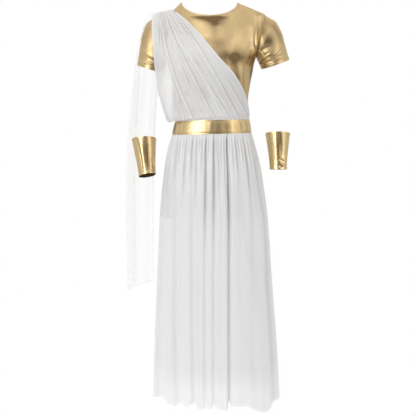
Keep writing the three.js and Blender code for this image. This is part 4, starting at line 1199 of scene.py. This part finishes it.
# Painted dark reflections on the cuffs: brown bands down their fronts.
RIGHT_CUFF_PAINTED_REFLECTIONS = [
    (-30, 0, -25, 1, 3, 0.5, 2), (8, 0.04, 10, 1, 8, 0.7, -2), (17, 0.2, 16, 0.85, 3, 0.5, 0),
    (44, 0.7, 50, 0.95, 6, 0.3, 0),
]
LEFT_CUFF_CREASES = [
    (-18, 0.02, -12, 0.9, 7, 1.2, 1), (6, 0.02, 10, 0.72, 6, -1.5, 2), (20, 0.05, 8, 0.76, 5, 0.9, -3),
    (4, 0.74, 40, 0.82, 3.4, -2.6, 2), (14, 0.86, 60, 0.9, 3.2, 2.4, -2), (0, 0.9, 34, 0.99, 3.6, -2.6, 1),
    (36, 0.64, 66, 0.78, 4, 1.8, 2),
]
# Painted dark reflections on the left cuff.
LEFT_CUFF_PAINTED_REFLECTIONS = [
    (14, 0.02, 12, 0.7, 6, 0.75, 2), (2, 0.1, 0, 0.6, 5, 0.4, 0), (10, 0.78, 34, 0.95, 5, 0.5, 0),
]
CUFFS = [
    # piece, node, top x and z, wrist x and z, tips forward and rolls sideways in degrees, creases, browns
    ("gold_cuff_right", "cuff_right", (-243.5, -490), (-230, -620), (15.5, 15.5), (2, 9),
     RIGHT_CUFF_CREASES, RIGHT_CUFF_PAINTED_REFLECTIONS),
    ("gold_cuff_left", "cuff_left", (241.5, -470), (243.5, -599), (11.5, 3.5), (0, 0),
     LEFT_CUFF_CREASES, LEFT_CUFF_PAINTED_REFLECTIONS),
]


def cuff(top, wrist, tips, rolls, crease_rows, brown_rows):
    """Points of a cuff, and its brown places."""
    u, along = grid_parts(CUFF_COLUMNS, CUFF_ROWS)
    angle = 360 * u
    turn = np.radians(angle)
    mark = 1 - ease(np.minimum(along, 1 - along) * CUFF_LENGTH, 7, 9.5)
    bumps, brown = (
        round_creases(angle, along * CUFF_LENGTH, rows, CUFF_RADIUS, CUFF_LENGTH, (-720, -360, 0))
        for rows in (crease_rows + CUFF_BACK_CREASES, brown_rows)
    )
    radius = CUFF_TOP_HALF * smooth(CUFF_TAPER)(along)
    radius += 0.8 + HEM_RISE * mark + bumps * (1 - 0.6 * mark)
    tip, roll = np.radians(mix(*tips, along)), np.radians(mix(*rolls, along))
    swing = (top[1] - wrist[1]) * math.tan(math.radians(sum(tips) / 2)) * (0.5 - along)
    forward, sideways = radius * np.cos(turn), radius * np.sin(turn)
    x = mix(top[0], wrist[0], along) + np.cos(roll) * sideways
    y = swing - np.cos(tip) * forward
    z = mix(top[1], wrist[1], along) + np.sin(tip) * forward + np.sin(roll) * sideways
    return np.stack([x, y, z], axis=-1), np.clip(brown, 0, 1)


CUFF_FLAT = (0.273, 0.137)
for name, node, top, wrist, tips, rolls, crease_rows, brown_rows in CUFFS:
    points, brown = cuff(top, wrist, tips, rolls, crease_rows, brown_rows)
    for edge, row in (("upper", 3), ("wrist", CUFF_ROWS - 3)):
        STITCH_LINES.append((name + "_" + edge + "_stitches", points[row], "gold_band"))
    piece = cloth(name, points, CUFF_FLAT, closed=True, wall=1.0, tarnish=brown)
    sewn(piece, node, gold_band)

# %% [markdown]
# The turned edges of the gold pieces, both edges of the band and the skirt's hem are held by rows of
# lockstitches in thread of the cloth's own colour. One stitch is modelled as a small thick bead of thread.
# An array repeats it along the length of the edge, and a curve modifier lays the row on a line that is
# found on the cloth.

# %% Stitches
STITCH_PITCH = 3.2
STITCH_LENGTH = 2.3
THREAD_RADIUS = 0.3
GOLD_THREAD, WHITE_THREAD = (0.5, 0.36, 0.16, 1), (0.9, 0.9, 0.9, 1)

thread_looks = {}
for slot in ("gold_jersey", "gold_band", "white_chiffon"):
    colour = WHITE_THREAD if slot == "white_chiffon" else GOLD_THREAD
    thread_looks[slot] = principled("thread_on_" + slot, Base_Color=colour, Roughness=0.55)[0]


def stitch_row(name, line, slot):
    """One row of stitches along a line in millimetres."""
    length = np.linalg.norm(np.diff(line, axis=0), axis=1).sum()
    bpy.ops.object.select_all(action="DESELECT")
    bpy.ops.mesh.primitive_uv_sphere_add(segments=6, ring_count=4, radius=THREAD_RADIUS * MM)
    row = bpy.context.object
    row.name = name
    bpy.ops.object.mode_set(mode="EDIT")
    bpy.ops.mesh.select_all(action="SELECT")
    bpy.ops.transform.resize(value=(STITCH_LENGTH / THREAD_RADIUS / 2, 1, 1), center_override=(0, 0, 0))
    bpy.ops.transform.translate(value=(STITCH_PITCH / 2 * MM, 0, 0))
    bpy.ops.object.mode_set(mode="OBJECT")
    bpy.ops.object.shade_smooth()
    path = bpy.data.curves.new(name + "_path", "CURVE")
    path.dimensions = "3D"
    spline = path.splines.new("POLY")
    spline.points.add(len(line) - 1)
    spline.points.foreach_set("co", np.append(line * MM, np.ones((len(line), 1)), axis=1).ravel())
    guide = bpy.data.objects.new(name + "_path", path)
    bpy.context.collection.objects.link(guide)
    bpy.ops.object.modifier_add(type="ARRAY")
    repeat = row.modifiers[-1]
    repeat.use_relative_offset = False
    repeat.use_constant_offset = True
    repeat.constant_offset_displace = (STITCH_PITCH * MM, 0, 0)
    repeat.count = int(length / STITCH_PITCH)
    bpy.ops.object.modifier_apply(modifier=repeat.name)
    bpy.ops.object.modifier_add(type="CURVE")
    row.modifiers[-1].object = guide
    bpy.ops.object.modifier_apply(modifier=row.modifiers[-1].name)
    bpy.data.objects.remove(guide)
    row.data.materials.append(thread_looks[slot])
    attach(row, "root")


for name, line, slot in STITCH_LINES:
    stitch_row(name, line, slot)
print(len(STITCH_LINES), "rows of stitches")
